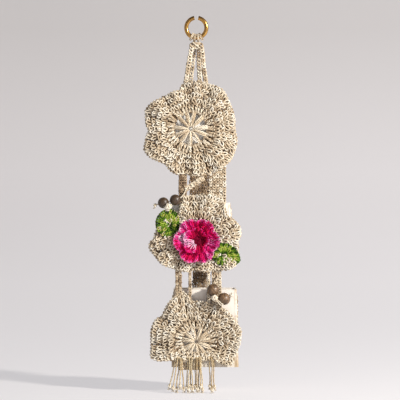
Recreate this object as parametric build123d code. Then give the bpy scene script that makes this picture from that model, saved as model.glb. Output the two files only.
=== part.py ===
from build123d import *
import math
import os

# A three-tier hanging planter in crocheted yarn. Millimetres, +Z up, lace fronts facing -Y.
# The origin is the centre of the hanging ring, which is what holds the whole object up.

# Hanging ring: a round bar bent to an open ring, its gap at the top.
ring_outer_diameter = 49.0
ring_bar_diameter = 8.4
ring_gap_width = 8.0

# Cord loops round the ring bar, one for each hanger chain, and the wrapping under them.
loop_cord_diameter = 3.8
loop_clearance = 0.4
loop_pitch_degrees = 18.0
wrap_width = 19.0
wrap_depth = 17.0
wrap_height = 14.0
wrap_corner_radius = 5.6

# Clearances that several fits share.
body_clearance = 0.35
layer_gap = 0.3
pot_clearance = 1.5

# Box pots. Each tier has its own size; the pots widen a little towards the base.
pot_depth = 84.0
pot_wall = 3.5
pot_floor = 4.0
pot_corner_radius = 4.0
pot_flare = 4.0
hanger_drop = 160.0
tiers = {
    "upper": {
        "pot_width": 108.0, "pot_height": 108.0, "pot_x": -15.0, "lace_x": -12.6, "lace_rise": 8.0,
        "back_above_rim": 36.0,
    },
    "middle": {
        "pot_width": 126.0, "pot_height": 127.0, "pot_x": 5.0, "lace_x": -3.0, "lace_rise": -9.5,
        "back_above_rim": 6.0,
    },
    "lower": {
        "pot_width": 126.0, "pot_height": 155.0, "pot_x": 17.5, "lace_x": -0.6, "lace_rise": -20.5,
        "back_above_rim": 2.0,
    },
}
upper_neck_gap = 85.0
lower_neck_gap = 46.0

# Crocheted pieces.
lace_thickness = 5.0
back_thickness = 4.0
back_margin = 6.0
back_corner_radius = 14.0
band_thickness = 3.0
band_height = 13.0
sling_thickness = 3.5
chain_width = 7.0
chain_thickness = 5.0
chain_corner_radius = 2.2
chain_run_in = 8.0
# Hanger chains: x at the wrapping, x at the foot.
front_chains = {"front_left": (-7.0, -22.0), "front_right": (7.5, 20.0)}
back_chains = {"back_left": (-3.5, -14.0), "back_right": (3.5, 8.0)}

# Lace outlines about each lace centre: x, z, and how far the edge to the next point bulges.
lace_outlines = {
    "upper": [
        (37, 91, 5), (72, 66, 4), (86, 28, 5), (89, -50, 4), (68, -71, 2), (38, -91, 0), (-23, -92, 2),
        (-48, -71, 5), (-92, -41, 4), (-80, -3, 4), (-90, 38, 6), (-20, 76, 1), (-14, 91, 3),
    ],
    "middle": [
        (54, 86, 2), (62, 46, 3), (91, 27, 4), (84, -3, 3), (86, -44, 4), (58, -61, 2), (-38, -61, 5),
        (-90, -23, 5), (-80, 0, 3), (-72, 30, 5), (-30, 56, 1), (-22, 86, 4),
    ],
    "lower": [
        (44, 66, 4), (84, 28, 4), (88, 8, 4), (72, -50, 3), (40, -42, 2), (-62, -42, 3), (-90, -37, 4),
        (-84, 32, 3), (-70, 44, 4), (-28, 96, 2), (-8, 74, 2),
    ],
}

# Side bands run from lace to back round the pot: heights above the middle of the pot.
band_heights = {"upper": (24.0, -26.0), "middle": (8.0, -40.0), "lower": (-11.0, -27.0)}
# Base slings pass under the pots: middle x and width.
slings = {"upper": (-5.0, 52.0), "middle": (-4.5, 41.0), "lower": (-14.0, 46.0)}

# Neck straps between the laces: x at the top, x at the bottom, width.
upper_neck_straps = {"left_strap": (-29.0, -29.0, 12.0), "right_strap": (43.0, 41.0, 33.0)}
lower_neck_straps = {
    "left_strap": (-34.5, -36.0, 13.0), "inner_strap": (-12.0, -13.0, 6.0),
    "column_strap": (24.0, 25.0, 8.0), "right_strap": (41.0, 40.0, 19.0),
}
neck_meshes = {"upper": (14.0, 36.0), "lower": (7.0, 25.0)}
# Straps are a little thinner than the laces and run in behind the lace edges before they are trimmed.
strap_inset = 0.5
strap_run_up = 25.0
strap_run_down = 30.0
# The diagonal strap: width, corner radius, start (x, and height over the middle rim), run past the tie.
diagonal_strap_width = 8.0
diagonal_strap_corner_radius = 1.6
diagonal_strap_start = (10.0, 50.0)
diagonal_strap_run_on = 3.0

# Crocheted flower and leaves, sewn to the middle lace.
flower_diameter = 93.0
flower_petals = 6
flower_turn = 30.0
flower_x = 0.6
flower_rise = -3.0
flower_cup_depth = 15.0
flower_thickness = 4.5
inner_flower_diameter = 56.0
inner_flower_petals = 5
inner_flower_turn = 10.0
inner_flower_cup_share = 0.8
flower_centre_diameter = 16.0
petal_fullness = 1.12
leaf_thickness = 4.5
leaf_widest_shift = 0.1
leaves = {
    "left_leaf": {"x": -57.0, "rise": 33.0, "length": 54.0, "width": 44.0, "turn": -105.0},
    "right_leaf": {"x": 57.0, "rise": -31.0, "length": 62.0, "width": 42.0, "turn": -22.0},
}

# Tie cords with wooden beads, and the fringe.
tie_diameter = 2.6
corner_arc_share = 0.45
left_bead_diameter = 22.0
right_bead_diameter = 24.5
bead_bore_diameter = 5.2
bead_gap = 1.2
end_knot_diameter = 6.5
# Tie routes: x, distance in front of the laces, height over the rim of the pot behind.
left_tie_points = [(-20.0, 1.7, 28.0), (-26.0, 9.5, 9.0), (-53.5, 14.5, 3.0), (-82.0, 14.5, -4.5)]
right_tie_points = [
    (43.0, 1.7, 28.0), (37.5, 11.0, 12.0), (29.5, 17.5, -12.5), (38.5, 18.0, -28.0), (69.5, 16.0, -9.0),
]
fringe_diameter = 2.6
fringe_pitch = 2.9
fringe_drop = 37.0
fringe_length = 60.0
fringe_length_change = 4.0
fringe_sway = 1.1
fringe_slack = 0.4
fringe_layer_gap = 0.5
fringe_waves = (0.6, 0.2, 0.8)
fringe_knot_diameter = 5.4
fringe_bundles = {
    "fringe_far_left": {"x": -33.6, "strands": 5, "shift": -6.0, "spread": 2.4},
    "fringe_left": {"x": -12.6, "strands": 4, "shift": -1.0, "spread": 1.3},
    "fringe_middle": {"x": 4.4, "strands": 5, "shift": 0.5, "spread": 1.2},
    "fringe_right": {"x": 30.4, "strands": 3, "shift": 0.8, "spread": 1.5},
}

# Worked out from the values above.
ring_radius = (ring_outer_diameter - ring_bar_diameter) / 2
loop_radius = ring_bar_diameter / 2 + loop_clearance + loop_cord_diameter / 2
ring_bottom = -ring_radius
loops_bottom = ring_bottom - loop_radius - loop_cord_diameter / 2
wrap_top = loops_bottom - body_clearance
pocket_half_depth = pot_depth / 2 + pot_flare + pot_clearance
lace_front = -pocket_half_depth - lace_thickness
back_face = pocket_half_depth + back_thickness


def stack_tiers():
    """Each pot hangs below the one above it."""
    rim = -hanger_drop
    gaps = {"upper": upper_neck_gap, "middle": lower_neck_gap, "lower": 0.0}
    for name, tier in tiers.items():
        tier["rim_z"] = rim
        tier["base_z"] = rim - tier["pot_height"]
        tier["middle_z"] = rim - tier["pot_height"] / 2
        tier["lace_z"] = tier["middle_z"] + tier["lace_rise"]
        rim = tier["base_z"] - gaps[name]


def tie_route(points, tier):
    """A tie's points in the frame, from its points about the laces and a pot's rim."""
    return [(x, lace_front - forward, tier["rim_z"] + rise) for x, forward, rise in points]


def hanging_ring():
    half_gap = math.degrees(math.asin(ring_gap_width / 2 / ring_radius))
    across_bar = Plane(origin=(0, 0, ring_radius), x_dir=(0, 1, 0), z_dir=(1, 0, 0))
    profile = across_bar * Circle(ring_bar_diameter / 2)
    turned = revolve(profile, axis=Axis((0, 0, 0), (0, 1, 0)), revolution_arc=360 - 2 * half_gap)
    return turned.rotate(Axis((0, 0, 0), (0, 1, 0)), half_gap)


def ring_loop(degrees):
    """A cord loop round the ring bar, degrees from the bottom of the ring."""
    angle = math.radians(degrees)
    centre = (ring_radius * math.sin(angle), 0, -ring_radius * math.cos(angle))
    along = (math.cos(angle), 0, math.sin(angle))
    return Plane(origin=centre, z_dir=along) * Torus(loop_radius, loop_cord_diameter / 2)


def head_wrap():
    block = Pos(0, 0, wrap_top - wrap_height / 2) * Box(wrap_width, wrap_depth, wrap_height)
    return fillet(block.edges().filter_by(Axis.Z), wrap_corner_radius)


def lace_plate(outline, centre_x, centre_z):
    """A flat lace with arcs between the points of its outline."""
    edges = []
    for (x1, z1, bulge), (x2, z2, _) in zip(outline, outline[1:] + outline[:1]):
        start = Vector(centre_x + x1, lace_front, centre_z + z1)
        end = Vector(centre_x + x2, lace_front, centre_z + z2)
        if bulge:
            run = end - start
            outward = Vector(-run.Z, 0, run.X).normalized()
            edges.append(ThreePointArc(start, (start + end) * 0.5 + outward * bulge, end))
        else:
            edges.append(Line(start, end))
    return extrude(make_face(edges), amount=lace_thickness, dir=(0, 1, 0))


def box_between(low, high):
    size = [b - a for a, b in zip(low, high)]
    middle = [(a + b) / 2 for a, b in zip(low, high)]
    return Pos(*middle) * Box(*size)


def back_panel(tier):
    width = tier["pot_width"] + 2 * back_margin
    top = tier["rim_z"] + tier["back_above_rim"]
    bottom = tier["base_z"] - layer_gap - sling_thickness
    sheet = RectangleRounded(width, top - bottom, back_corner_radius)
    place = Plane(origin=(tier["pot_x"], back_face, (top + bottom) / 2), x_dir=(1, 0, 0), z_dir=(0, -1, 0))
    return extrude(place * sheet, amount=back_thickness)


def pot_shell(tier):
    """A box pot, open at the top, with rounded upright corners."""
    rim, base = tier["rim_z"], tier["base_z"]

    def section(inset, z, share):
        wide = tier["pot_width"] + 2 * pot_flare * share - 2 * inset
        deep = pot_depth + 2 * pot_flare * share - 2 * inset
        radius = max(pot_corner_radius - inset, 1.0)
        return Plane.XY.offset(z) * Pos(tier["pot_x"], 0) * RectangleRounded(wide, deep, radius)

    outside = loft([section(0, base, 1), section(0, rim, 0)])
    floor_share = 1 - pot_floor / tier["pot_height"]
    inside = loft([section(pot_wall, base + pot_floor, floor_share), section(pot_wall, rim, 0)])
    mouth = extrude(section(pot_wall, rim, 0), amount=1.0)
    return outside - (inside + mouth)


def side_bands(name, tier):
    """Bands round the pot, from the lace to the back, each side at two heights.

    They clear the pot's widest part, which passes them when the pot is lifted out.
    """
    bands = []
    for height in band_heights[name]:
        z = tier["middle_z"] + height
        reach = tier["pot_width"] / 2 + pot_flare + pot_clearance / 2
        for side in (-1, 1):
            x = tier["pot_x"] + side * (reach + band_thickness / 2)
            bands.append(Pos(x, 0, z) * Box(band_thickness, 2 * pocket_half_depth, band_height))
    return bands


def base_sling(name, tier, lace):
    """A band under the pot; where the lace ends above it, a leg at the front reaches up to the lace."""
    x, width = slings[name]
    top = tier["base_z"] - layer_gap
    bottom = top - sling_thickness
    floor = box_between((x - width / 2, -pocket_half_depth, bottom), (x + width / 2, pocket_half_depth, top))
    leg = box_between(
        (x - width / 2, -pocket_half_depth - sling_thickness, bottom),
        (x + width / 2, -pocket_half_depth, tier["lace_z"]),
    )
    leg = (leg - lace).solids()
    low_leg = [s for s in leg if s.bounding_box().min.Z < bottom + 0.1]
    return floor + low_leg if low_leg else floor


def neck_strap(top_x, bottom_x, width, upper_lace, lower_lace, top, bottom):
    """A strap in the plane of the laces that fills the neck from one lace to the next."""
    corners = [
        (top_x - width / 2, top), (top_x + width / 2, top),
        (bottom_x + width / 2, bottom), (bottom_x - width / 2, bottom),
    ]
    face = make_face(Polyline([(x, lace_front + strap_inset, z) for x, z in corners], close=True))
    strip = extrude(face, amount=lace_thickness - 2 * strap_inset, dir=(0, 1, 0))
    left = strip - upper_lace - lower_lace
    return max(left.solids(), key=lambda s: s.volume)


def lobed_face(diameter, lobes, spin):
    """A flower outline: round lobes about a middle disc."""
    touching = math.sin(math.pi / lobes) / (1 + math.sin(math.pi / lobes))
    lobe_radius = diameter / 2 * touching * petal_fullness
    middle = diameter / 2 - lobe_radius
    flower = Circle(middle)
    for number in range(lobes):
        angle = math.radians(spin + 360 / lobes * number)
        flower += Pos(middle * math.cos(angle), middle * math.sin(angle)) * Circle(lobe_radius)
    return flower


def petal_cup(diameter, lobes, spin, depth, back_y, z):
    """Petals cupped forwards: a curved shell turned about the flower's axis, cut to the lobes."""
    radius = diameter / 2
    sphere_radius = (radius**2 + depth**2) / (2 * depth)
    rim_angle = math.asin(radius / sphere_radius)

    def arc(rise):
        points = []
        for angle in (0, rim_angle / 2, rim_angle):
            points.append((sphere_radius * math.sin(angle), 0, rise + sphere_radius * (1 - math.cos(angle))))
        return ThreePointArc(*points)

    low = arc(0)
    high = arc(flower_thickness)
    section = make_face([low, Line(low @ 1, high @ 1), high, Line(high @ 0, low @ 0)])
    bowl = revolve(section, axis=Axis.Z)
    prism = extrude(lobed_face(diameter, lobes, spin), amount=depth + 2 * flower_thickness)
    petals = max((bowl & prism).solids(), key=lambda s: s.volume)
    return Plane(origin=(flower_x, back_y, z), x_dir=(1, 0, 0), z_dir=(0, -1, 0)) * petals


def leaf_plate(leaf, z):
    """A pointed leaf between two arcs, laid on the lace."""
    half = leaf["length"] / 2
    place = Plane(origin=(leaf["x"], lace_front - layer_gap, z), x_dir=(1, 0, 0), z_dir=(0, -1, 0))
    place = place * Rot(0, 0, leaf["turn"])
    rim = [
        ThreePointArc((-half, 0), (-half * leaf_widest_shift, leaf["width"] / 2), (half, 0)),
        ThreePointArc((half, 0), (-half * leaf_widest_shift, -leaf["width"] / 2), (-half, 0)),
    ]
    return extrude(place * make_face(rim), amount=leaf_thickness)


def cord_tube(name, route, diameter):
    """A round cord along straight runs and the largest tangent arcs that fit them."""
    points = [Vector(*p) for p in route]
    radii = []
    for before, here, after in zip(points, points[1:], points[2:]):
        turn = math.radians((here - before).get_angle(after - here))
        shorter = min((here - before).length, (after - here).length)
        radii.append(corner_arc_share * shorter / math.tan(turn / 2))
    path = FilletPolyline(*points, radius=radii)
    start = Plane(origin=path @ 0, z_dir=path % 0)
    tube = sweep(start * Circle(diameter / 2), path=path)
    section = math.pi * diameter**2 / 4
    share = tube.volume / (section * path.length)
    shown = ", ".join(f"{r:.0f}" for r in radii)
    print(f"{name}: length {path.length:.1f}, radii {shown}, volume over section times length {share:.4f}")
    return tube


def bead(route, corner, before, diameter, gap):
    """A bored wooden bead on the run before or after one point of a cord's route, a gap from that point."""
    points = [Vector(*p) for p in route]
    here = points[corner]
    other = points[corner - 1] if before else points[corner + 1]
    along = (other - here).normalized()
    centre = here + along * (diameter / 2 + gap)
    bore = bead_bore_diameter / 2
    half = math.sqrt(diameter**2 / 4 - bore**2)
    profile = make_face([
        ThreePointArc((bore, 0, -half), (diameter / 2, 0, 0), (bore, 0, half)),
        Line((bore, 0, half), (bore, 0, -half)),
    ])
    place = ", ".join(f"{v:.2f}" for v in centre)
    direction = ", ".join(f"{v:.4f}" for v in along)
    print(f"bead centre {place}; axis {direction}")
    return Plane(origin=centre, z_dir=along) * revolve(profile, axis=Axis.Z)


def fringe_route(bundle, number, fringe_top):
    """One strand of a fringe bundle, from the lace edge down to its knot."""
    offset = (number - (bundle["strands"] - 1) / 2) * fringe_pitch
    top_x = bundle["x"] + offset
    drift = bundle["shift"] + offset * (bundle["spread"] - 1)
    sway = fringe_sway * math.sin(1.7 * number + bundle["x"])
    length = fringe_length + fringe_length_change * math.sin(2.3 * number + bundle["x"])
    layer = number % 2
    front = lace_front - layer_gap - fringe_slack - fringe_diameter / 2
    y = front - layer * (fringe_diameter + fringe_layer_gap)
    first, second, last = fringe_waves
    return [
        (top_x, y, fringe_top),
        (top_x + drift / 4 + sway, y - first, fringe_top - length / 3),
        (top_x + drift * 2 / 3 - sway / 2, y - second, fringe_top - length * 2 / 3),
        (top_x + drift, y - last, fringe_top - length),
    ]


def fringe_bundle(name, bundle, fringe_top):
    """Separate strands side by side, each ending in a small knot."""
    pieces = []
    for number in range(bundle["strands"]):
        route = fringe_route(bundle, number, fringe_top)
        strand = cord_tube(f"{name} {number + 1}", route, fringe_diameter)
        knot = Pos(*route[-1]) * Sphere(fringe_knot_diameter / 2)
        pieces.append(strand + knot)
    return pieces


def save(node, shape):
    """One STEP file for one node; a list is written as a group of separate solids."""
    if isinstance(shape, (list, tuple)):
        shape = Compound(children=[s.solid() for s in shape])
    export_step(shape, f"parts/{node}.step")


def chain(start, end):
    """A straight hanger chain of flattened section, between two points."""
    axis = Vector(*end) - Vector(*start)
    place = Plane(origin=start, x_dir=(1, 0, 0), z_dir=axis)
    section = place * RectangleRounded(chain_width, chain_thickness, chain_corner_radius)
    return extrude(section, amount=axis.length)


def build_head():
    save("hanging_ring", hanging_ring())
    names = ("outer_left", "inner_left", "inner_right", "outer_right")
    for place, name in enumerate(names):
        save(f"ring_loop_{name}", ring_loop((place - 1.5) * loop_pitch_degrees))
    save("head_wrap", head_wrap())


def build_chains(laces):
    """Four chains spread from the wrapping to the tops of the upper lace and back."""
    top_z = wrap_top - wrap_height + chain_thickness
    front_y = -wrap_depth / 4
    trims = [head_wrap(), laces["upper"], back_panel(tiers["upper"])]
    upper = tiers["upper"]
    lace_top = laces["upper"].bounding_box().max.Z
    back_top = upper["rim_z"] + upper["back_above_rim"]
    front_foot = -pocket_half_depth - lace_thickness / 2
    back_foot = pocket_half_depth + back_thickness / 2
    runs = {}
    for name, (top_x, foot_x) in front_chains.items():
        runs[name] = ((top_x, front_y, top_z), (foot_x, front_foot, lace_top - chain_run_in))
    for name, (top_x, foot_x) in back_chains.items():
        runs[name] = ((top_x, -front_y, top_z), (foot_x, back_foot, back_top - chain_thickness))
    for name, (start, end) in runs.items():
        shape = chain(start, end)
        for trim in trims:
            shape = max((shape - trim).solids(), key=lambda s: s.volume)
        save(f"hanger_chain_{name}", shape)


def build_tiers(laces):
    for name, tier in tiers.items():
        save(f"{name}_front_lace", laces[name])
        save(f"{name}_back_panel", back_panel(tier))
        save(f"{name}_side_bands", side_bands(name, tier))
        save(f"{name}_base_sling", base_sling(name, tier, laces[name]))
        save(f"{name}_pot", pot_shell(tier))


def build_neck(name, straps, above, below, laces):
    """Straps at the front and a mesh at the back between two tiers. Gives back the left strap."""
    top = laces[above].bounding_box().min.Z + strap_run_up
    bottom = laces[below].bounding_box().max.Z - strap_run_down
    made = {}
    for strap, (top_x, bottom_x, width) in straps.items():
        made[strap] = neck_strap(top_x, bottom_x, width, laces[above], laces[below], top, bottom)
        save(f"{name}_neck_{strap}", made[strap])
    x, width = neck_meshes[name]
    mesh_top = tiers[above]["base_z"] - layer_gap - sling_thickness
    mesh_bottom = tiers[below]["rim_z"] + tiers[below]["back_above_rim"]
    low = (x - width / 2, pocket_half_depth, mesh_bottom)
    mesh = box_between(low, (x + width / 2, back_face, mesh_top))
    save(f"{name}_neck_back_mesh", mesh)
    return made["left_strap"]


def build_diagonal_strap(left_strap, left_tie):
    """The strap that crosses the upper neck and carries the left tie."""
    start_x, start_rise = diagonal_strap_start
    start_z = tiers["middle"]["rim_z"] + start_rise
    tie_x, _, tie_z = left_tie[0]
    middle_y = lace_front + lace_thickness / 2
    start = Vector(start_x, middle_y, start_z)
    end = Vector(tie_x - diagonal_strap_run_on, middle_y, tie_z - diagonal_strap_run_on)
    axis = end - start
    place = Plane(origin=start, x_dir=(0, 1, 0), z_dir=axis)
    thickness = lace_thickness - 2 * strap_inset
    strip = place * RectangleRounded(thickness, diagonal_strap_width, diagonal_strap_corner_radius)
    whole = extrude(strip, amount=axis.length) - left_strap
    save("upper_neck_diagonal_strap", max(whole.solids(), key=lambda s: s.volume))


def build_flower(lace_z):
    z = lace_z + flower_rise
    back = lace_front - layer_gap
    outer = petal_cup(flower_diameter, flower_petals, flower_turn, flower_cup_depth, back, z)
    inner_back = back - flower_thickness - layer_gap
    inner_depth = flower_cup_depth * inner_flower_cup_share
    inner_size = (inner_flower_diameter, inner_flower_petals, inner_flower_turn)
    inner = petal_cup(*inner_size, inner_depth, inner_back, z)
    inner_radius = inner_flower_diameter / 2
    inner_sphere = (inner_radius**2 + inner_depth**2) / (2 * inner_depth)
    rise_at_centre = (flower_centre_diameter / 2) ** 2 / (2 * inner_sphere)
    centre_back = inner_back - flower_thickness - 2 * layer_gap - rise_at_centre
    disc = Plane(origin=(flower_x, centre_back, z), x_dir=(1, 0, 0), z_dir=(0, -1, 0)) * Circle(
        flower_centre_diameter / 2
    )
    save("flower_outer_petals", outer)
    save("flower_inner_petals", inner)
    save("flower_centre", extrude(disc, amount=flower_thickness))
    for name, leaf in leaves.items():
        save(name, leaf_plate(leaf, lace_z + leaf["rise"]) - outer)


def build_ties(left_tie, right_tie):
    for side, route in {"left": left_tie, "right": right_tie}.items():
        cord = cord_tube(f"{side} tie", route, tie_diameter)
        save(f"{side}_tie_cord", cord)
        knot = Pos(*route[-1]) * Sphere(end_knot_diameter / 2)
        save(f"{side}_tie_end_knot", knot - cord)
    save("left_bead_inner", bead(left_tie, 2, True, left_bead_diameter, bead_gap))
    save("left_bead_outer", bead(left_tie, 2, False, left_bead_diameter, bead_gap))
    save("right_bead_inner", bead(right_tie, 2, True, right_bead_diameter, bead_gap))
    knot_gap = end_knot_diameter / 2 + bead_gap
    save("right_bead_outer", bead(right_tie, -1, True, right_bead_diameter, knot_gap))


def build_fringe():
    fringe_top = tiers["lower"]["lace_z"] - fringe_drop
    for name, bundle in fringe_bundles.items():
        save(name, fringe_bundle(name, bundle, fringe_top))


os.makedirs("parts", exist_ok=True)
stack_tiers()
left_tie_route = tie_route(left_tie_points, tiers["middle"])
right_tie_route = tie_route(right_tie_points, tiers["lower"])
laces = {
    name: lace_plate(lace_outlines[name], tier["lace_x"], tier["lace_z"]) for name, tier in tiers.items()
}
build_head()
build_chains(laces)
build_tiers(laces)
upper_left_strap = build_neck("upper", upper_neck_straps, "upper", "middle", laces)
build_neck("lower", lower_neck_straps, "middle", "lower", laces)
build_diagonal_strap(upper_left_strap, left_tie_route)
build_flower(tiers["middle"]["lace_z"])
build_ties(left_tie_route, right_tie_route)
build_fringe()
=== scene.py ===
import math
import bpy
import numpy as np
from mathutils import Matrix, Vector


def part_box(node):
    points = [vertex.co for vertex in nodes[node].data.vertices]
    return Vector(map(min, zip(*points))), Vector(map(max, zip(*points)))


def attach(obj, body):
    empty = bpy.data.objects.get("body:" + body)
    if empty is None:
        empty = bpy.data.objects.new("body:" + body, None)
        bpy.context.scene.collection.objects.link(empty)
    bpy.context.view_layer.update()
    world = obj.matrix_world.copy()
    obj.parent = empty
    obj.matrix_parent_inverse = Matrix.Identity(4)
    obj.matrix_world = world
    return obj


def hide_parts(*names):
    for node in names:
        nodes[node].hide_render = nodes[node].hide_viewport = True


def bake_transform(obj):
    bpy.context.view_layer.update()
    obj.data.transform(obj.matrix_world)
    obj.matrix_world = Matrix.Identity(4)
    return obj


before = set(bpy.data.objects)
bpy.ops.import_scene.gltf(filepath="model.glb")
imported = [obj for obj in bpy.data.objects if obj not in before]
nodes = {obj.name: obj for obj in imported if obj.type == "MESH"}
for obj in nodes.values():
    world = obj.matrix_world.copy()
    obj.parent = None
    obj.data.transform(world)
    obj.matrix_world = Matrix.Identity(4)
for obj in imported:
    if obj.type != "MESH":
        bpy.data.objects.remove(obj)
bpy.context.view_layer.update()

# Lengths in the dictionaries are millimetres; meshes are scaled to metres when they are made.
millimetre = 0.001


# ---- reading the frame

def nodePoints(node):
    return np.array([v.co for v in nodes[node].data.vertices], float) / millimetre


def nodeBox(node):
    low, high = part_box(node)
    return np.array(low) / millimetre, np.array(high) / millimetre


def nodeOutline(node, middle):
    # the rim of a flat plate as angles about a middle point and radii, densely divided
    points = nodePoints(node)
    face = points[points[:, 1] < points[:, 1].min() + 0.05][:, [0, 2]] - middle
    order = np.argsort(np.arctan2(face[:, 0], face[:, 1]))
    corners = face[order]
    rim = []
    for here, there in zip(corners, np.roll(corners, -1, axis=0)):
        for share in np.linspace(0, 1, 12, endpoint=False):
            rim.append(here + (there - here) * share)
    rim = np.array(rim)
    return np.arctan2(rim[:, 0], rim[:, 1]), np.linalg.norm(rim, axis=1)


def nodeRim(node, design, count):
    # a plate's eye, even angles about it, and the distance to the rim at each angle
    low, high = nodeBox(node)
    eye = np.array([low[axis] + (high[axis] - low[axis]) * share for axis,
                    share in zip((0, 2), design["eye"])])
    angles, radii = nodeOutline(node, eye)
    order = np.argsort(angles)
    theta = np.linspace(-math.pi, math.pi, count, endpoint=False)
    return eye, theta, np.interp(theta, angles[order], radii[order], period=2 * math.pi)


def runEnds(node):
    # the middles of the highest and lowest ends of a bar-like node
    points = nodePoints(node)
    high = points[points[:, 2] > points[:, 2].max() - 2.5].mean(axis=0)
    low = points[points[:, 2] < points[:, 2].min() + 2.5].mean(axis=0)
    return high, low


# ---- materials

def newGroup(name, inputs, outputs):
    group = bpy.data.node_groups.new(name, "ShaderNodeTree")
    for label, kind, value in inputs:
        socket = group.interface.new_socket(name=label, in_out="INPUT", socket_type=kind)
        socket.default_value = value
    for label, kind in outputs:
        group.interface.new_socket(name=label, in_out="OUTPUT", socket_type=kind)
    return group, group.nodes.new("NodeGroupInput"), group.nodes.new("NodeGroupOutput")


def addNode(tree, kind, values=None, **settings):
    node = tree.nodes.new(kind)
    for key, value in settings.items():
        setattr(node, key, value)
    for key, value in (values or {}).items():
        node.inputs[key].default_value = value
    return node


def mathNode(tree, operation, first, second=None, clamp=False):
    node = addNode(tree, "ShaderNodeMath", operation=operation, use_clamp=clamp)
    for place, value in enumerate((first, second)):
        if value is None:
            continue
        if isinstance(value, (int, float)):
            node.inputs[place].default_value = value
        else:
            tree.links.new(value, node.inputs[place])
    return node.outputs[0]


def mixColour(tree, share, first, second):
    node = addNode(tree, "ShaderNodeMix", data_type="RGBA")
    for place, value in ((0, share), (6, first), (7, second)):
        if isinstance(value, bpy.types.NodeSocket):
            tree.links.new(value, node.inputs[place])
        elif isinstance(value, (int, float)):
            node.inputs[place].default_value = value
        else:
            node.inputs[place].default_value = (*value, 1.0)
    return node.outputs[2]


def plyGroup():
    # spun yarn: plies that wind round it, fine fibres along it, and slow changes of tone
    inputs = [
        ("Ply Pitch", "NodeSocketFloat", 7.0), ("Fibre Scale", "NodeSocketFloat", 3.0),
        ("Slow Scale", "NodeSocketFloat", 60.0),
    ]
    outputs = [("Groove", "NodeSocketFloat"), ("Fibre", "NodeSocketFloat"), ("Slow", "NodeSocketFloat"),
               ("Height", "NodeSocketFloat")]
    group, source, sink = newGroup("spunYarn", inputs, outputs)
    uv = addNode(group, "ShaderNodeUVMap", uv_map="yarn")
    parts = addNode(group, "ShaderNodeSeparateXYZ")
    group.links.new(uv.outputs[0], parts.inputs[0])
    turns = mathNode(group, "DIVIDE", parts.outputs[0], source.outputs["Ply Pitch"])
    phase = mathNode(group, "ADD", mathNode(group, "MULTIPLY", parts.outputs[1], 3.0), turns)
    wave = mathNode(group, "COSINE", mathNode(group, "MULTIPLY", phase, 2 * math.pi))
    groove = mathNode(group, "MULTIPLY", mathNode(group, "SUBTRACT", 1.0, wave), 0.5)
    sharp = mathNode(group, "POWER", groove, 2.2)
    lay = addNode(group, "ShaderNodeCombineXYZ")
    group.links.new(mathNode(group, "MULTIPLY", parts.outputs[0], 0.22), lay.inputs[0])
    group.links.new(mathNode(group, "MULTIPLY", phase, 4.0), lay.inputs[1])
    fibre = addNode(group, "ShaderNodeTexNoise", {"Detail": 3.0})
    group.links.new(lay.outputs[0], fibre.inputs["Vector"])
    group.links.new(source.outputs["Fibre Scale"], fibre.inputs["Scale"])
    where = addNode(group, "ShaderNodeTexCoord")
    slow = addNode(group, "ShaderNodeTexNoise", {"Detail": 2.0})
    group.links.new(where.outputs["Object"], slow.inputs["Vector"])
    group.links.new(source.outputs["Slow Scale"], slow.inputs["Scale"])
    height = mathNode(group, "SUBTRACT", mathNode(group, "MULTIPLY", fibre.outputs["Fac"], 0.4), sharp)
    group.links.new(sharp, sink.inputs["Groove"])
    group.links.new(fibre.outputs["Fac"], sink.inputs["Fibre"])
    group.links.new(slow.outputs["Fac"], sink.inputs["Slow"])
    group.links.new(height, sink.inputs["Height"])
    return group


def wearGroup():
    # rubbed and soiled patches: a mask that grows towards 1 where a surface is handled
    inputs = [("Scale", "NodeSocketFloat", 40.0), ("Amount", "NodeSocketFloat", 0.5),
              ("Sharpness", "NodeSocketFloat", 6.0)]
    group, source, sink = newGroup("patchyWear", inputs,
                                   [("Mask", "NodeSocketFloat"), ("Fine", "NodeSocketFloat")])
    where = addNode(group, "ShaderNodeTexCoord")
    broad = addNode(group, "ShaderNodeTexNoise", {"Detail": 5.0, "Roughness": 0.62})
    fine = addNode(group, "ShaderNodeTexNoise", {"Detail": 3.0, "Scale": 420.0})
    group.links.new(where.outputs["Object"], broad.inputs["Vector"])
    group.links.new(where.outputs["Object"], fine.inputs["Vector"])
    group.links.new(source.outputs["Scale"], broad.inputs["Scale"])
    level = mathNode(group, "ADD", mathNode(group, "SUBTRACT", broad.outputs["Fac"], 1.0),
                     source.outputs["Amount"])
    mask = mathNode(group, "MULTIPLY", level, source.outputs["Sharpness"], clamp=True)
    group.links.new(mask, sink.inputs["Mask"])
    group.links.new(fine.outputs["Fac"], sink.inputs["Fine"])
    return group


spunYarn = plyGroup()
patchyWear = wearGroup()


def startMaterial(name):
    material = bpy.data.materials.new(name)
    material.use_nodes = True
    tree = material.node_tree
    return material, tree, tree.nodes["Principled BSDF"]


def useGroup(tree, group, values):
    node = addNode(tree, "ShaderNodeGroup", node_tree=group)
    for key, value in values.items():
        node.inputs[key].default_value = value
    return node


def colourRamp(tree, factor, stops):
    ramp = tree.nodes.new("ShaderNodeValToRGB")
    elements = ramp.color_ramp.elements
    while len(elements) < len(stops):
        elements.new(0.5)
    for element, (place, colour) in zip(elements, stops):
        element.position = place
        element.color = (*colour, 1.0)
    tree.links.new(factor, ramp.inputs[0])
    return ramp.outputs[0]


def bumpInto(tree, shader, height, strength, distance):
    bump = addNode(tree, "ShaderNodeBump", {"Strength": strength, "Distance": distance})
    tree.links.new(height, bump.inputs["Height"])
    tree.links.new(bump.outputs[0], shader.inputs["Normal"])


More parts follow.
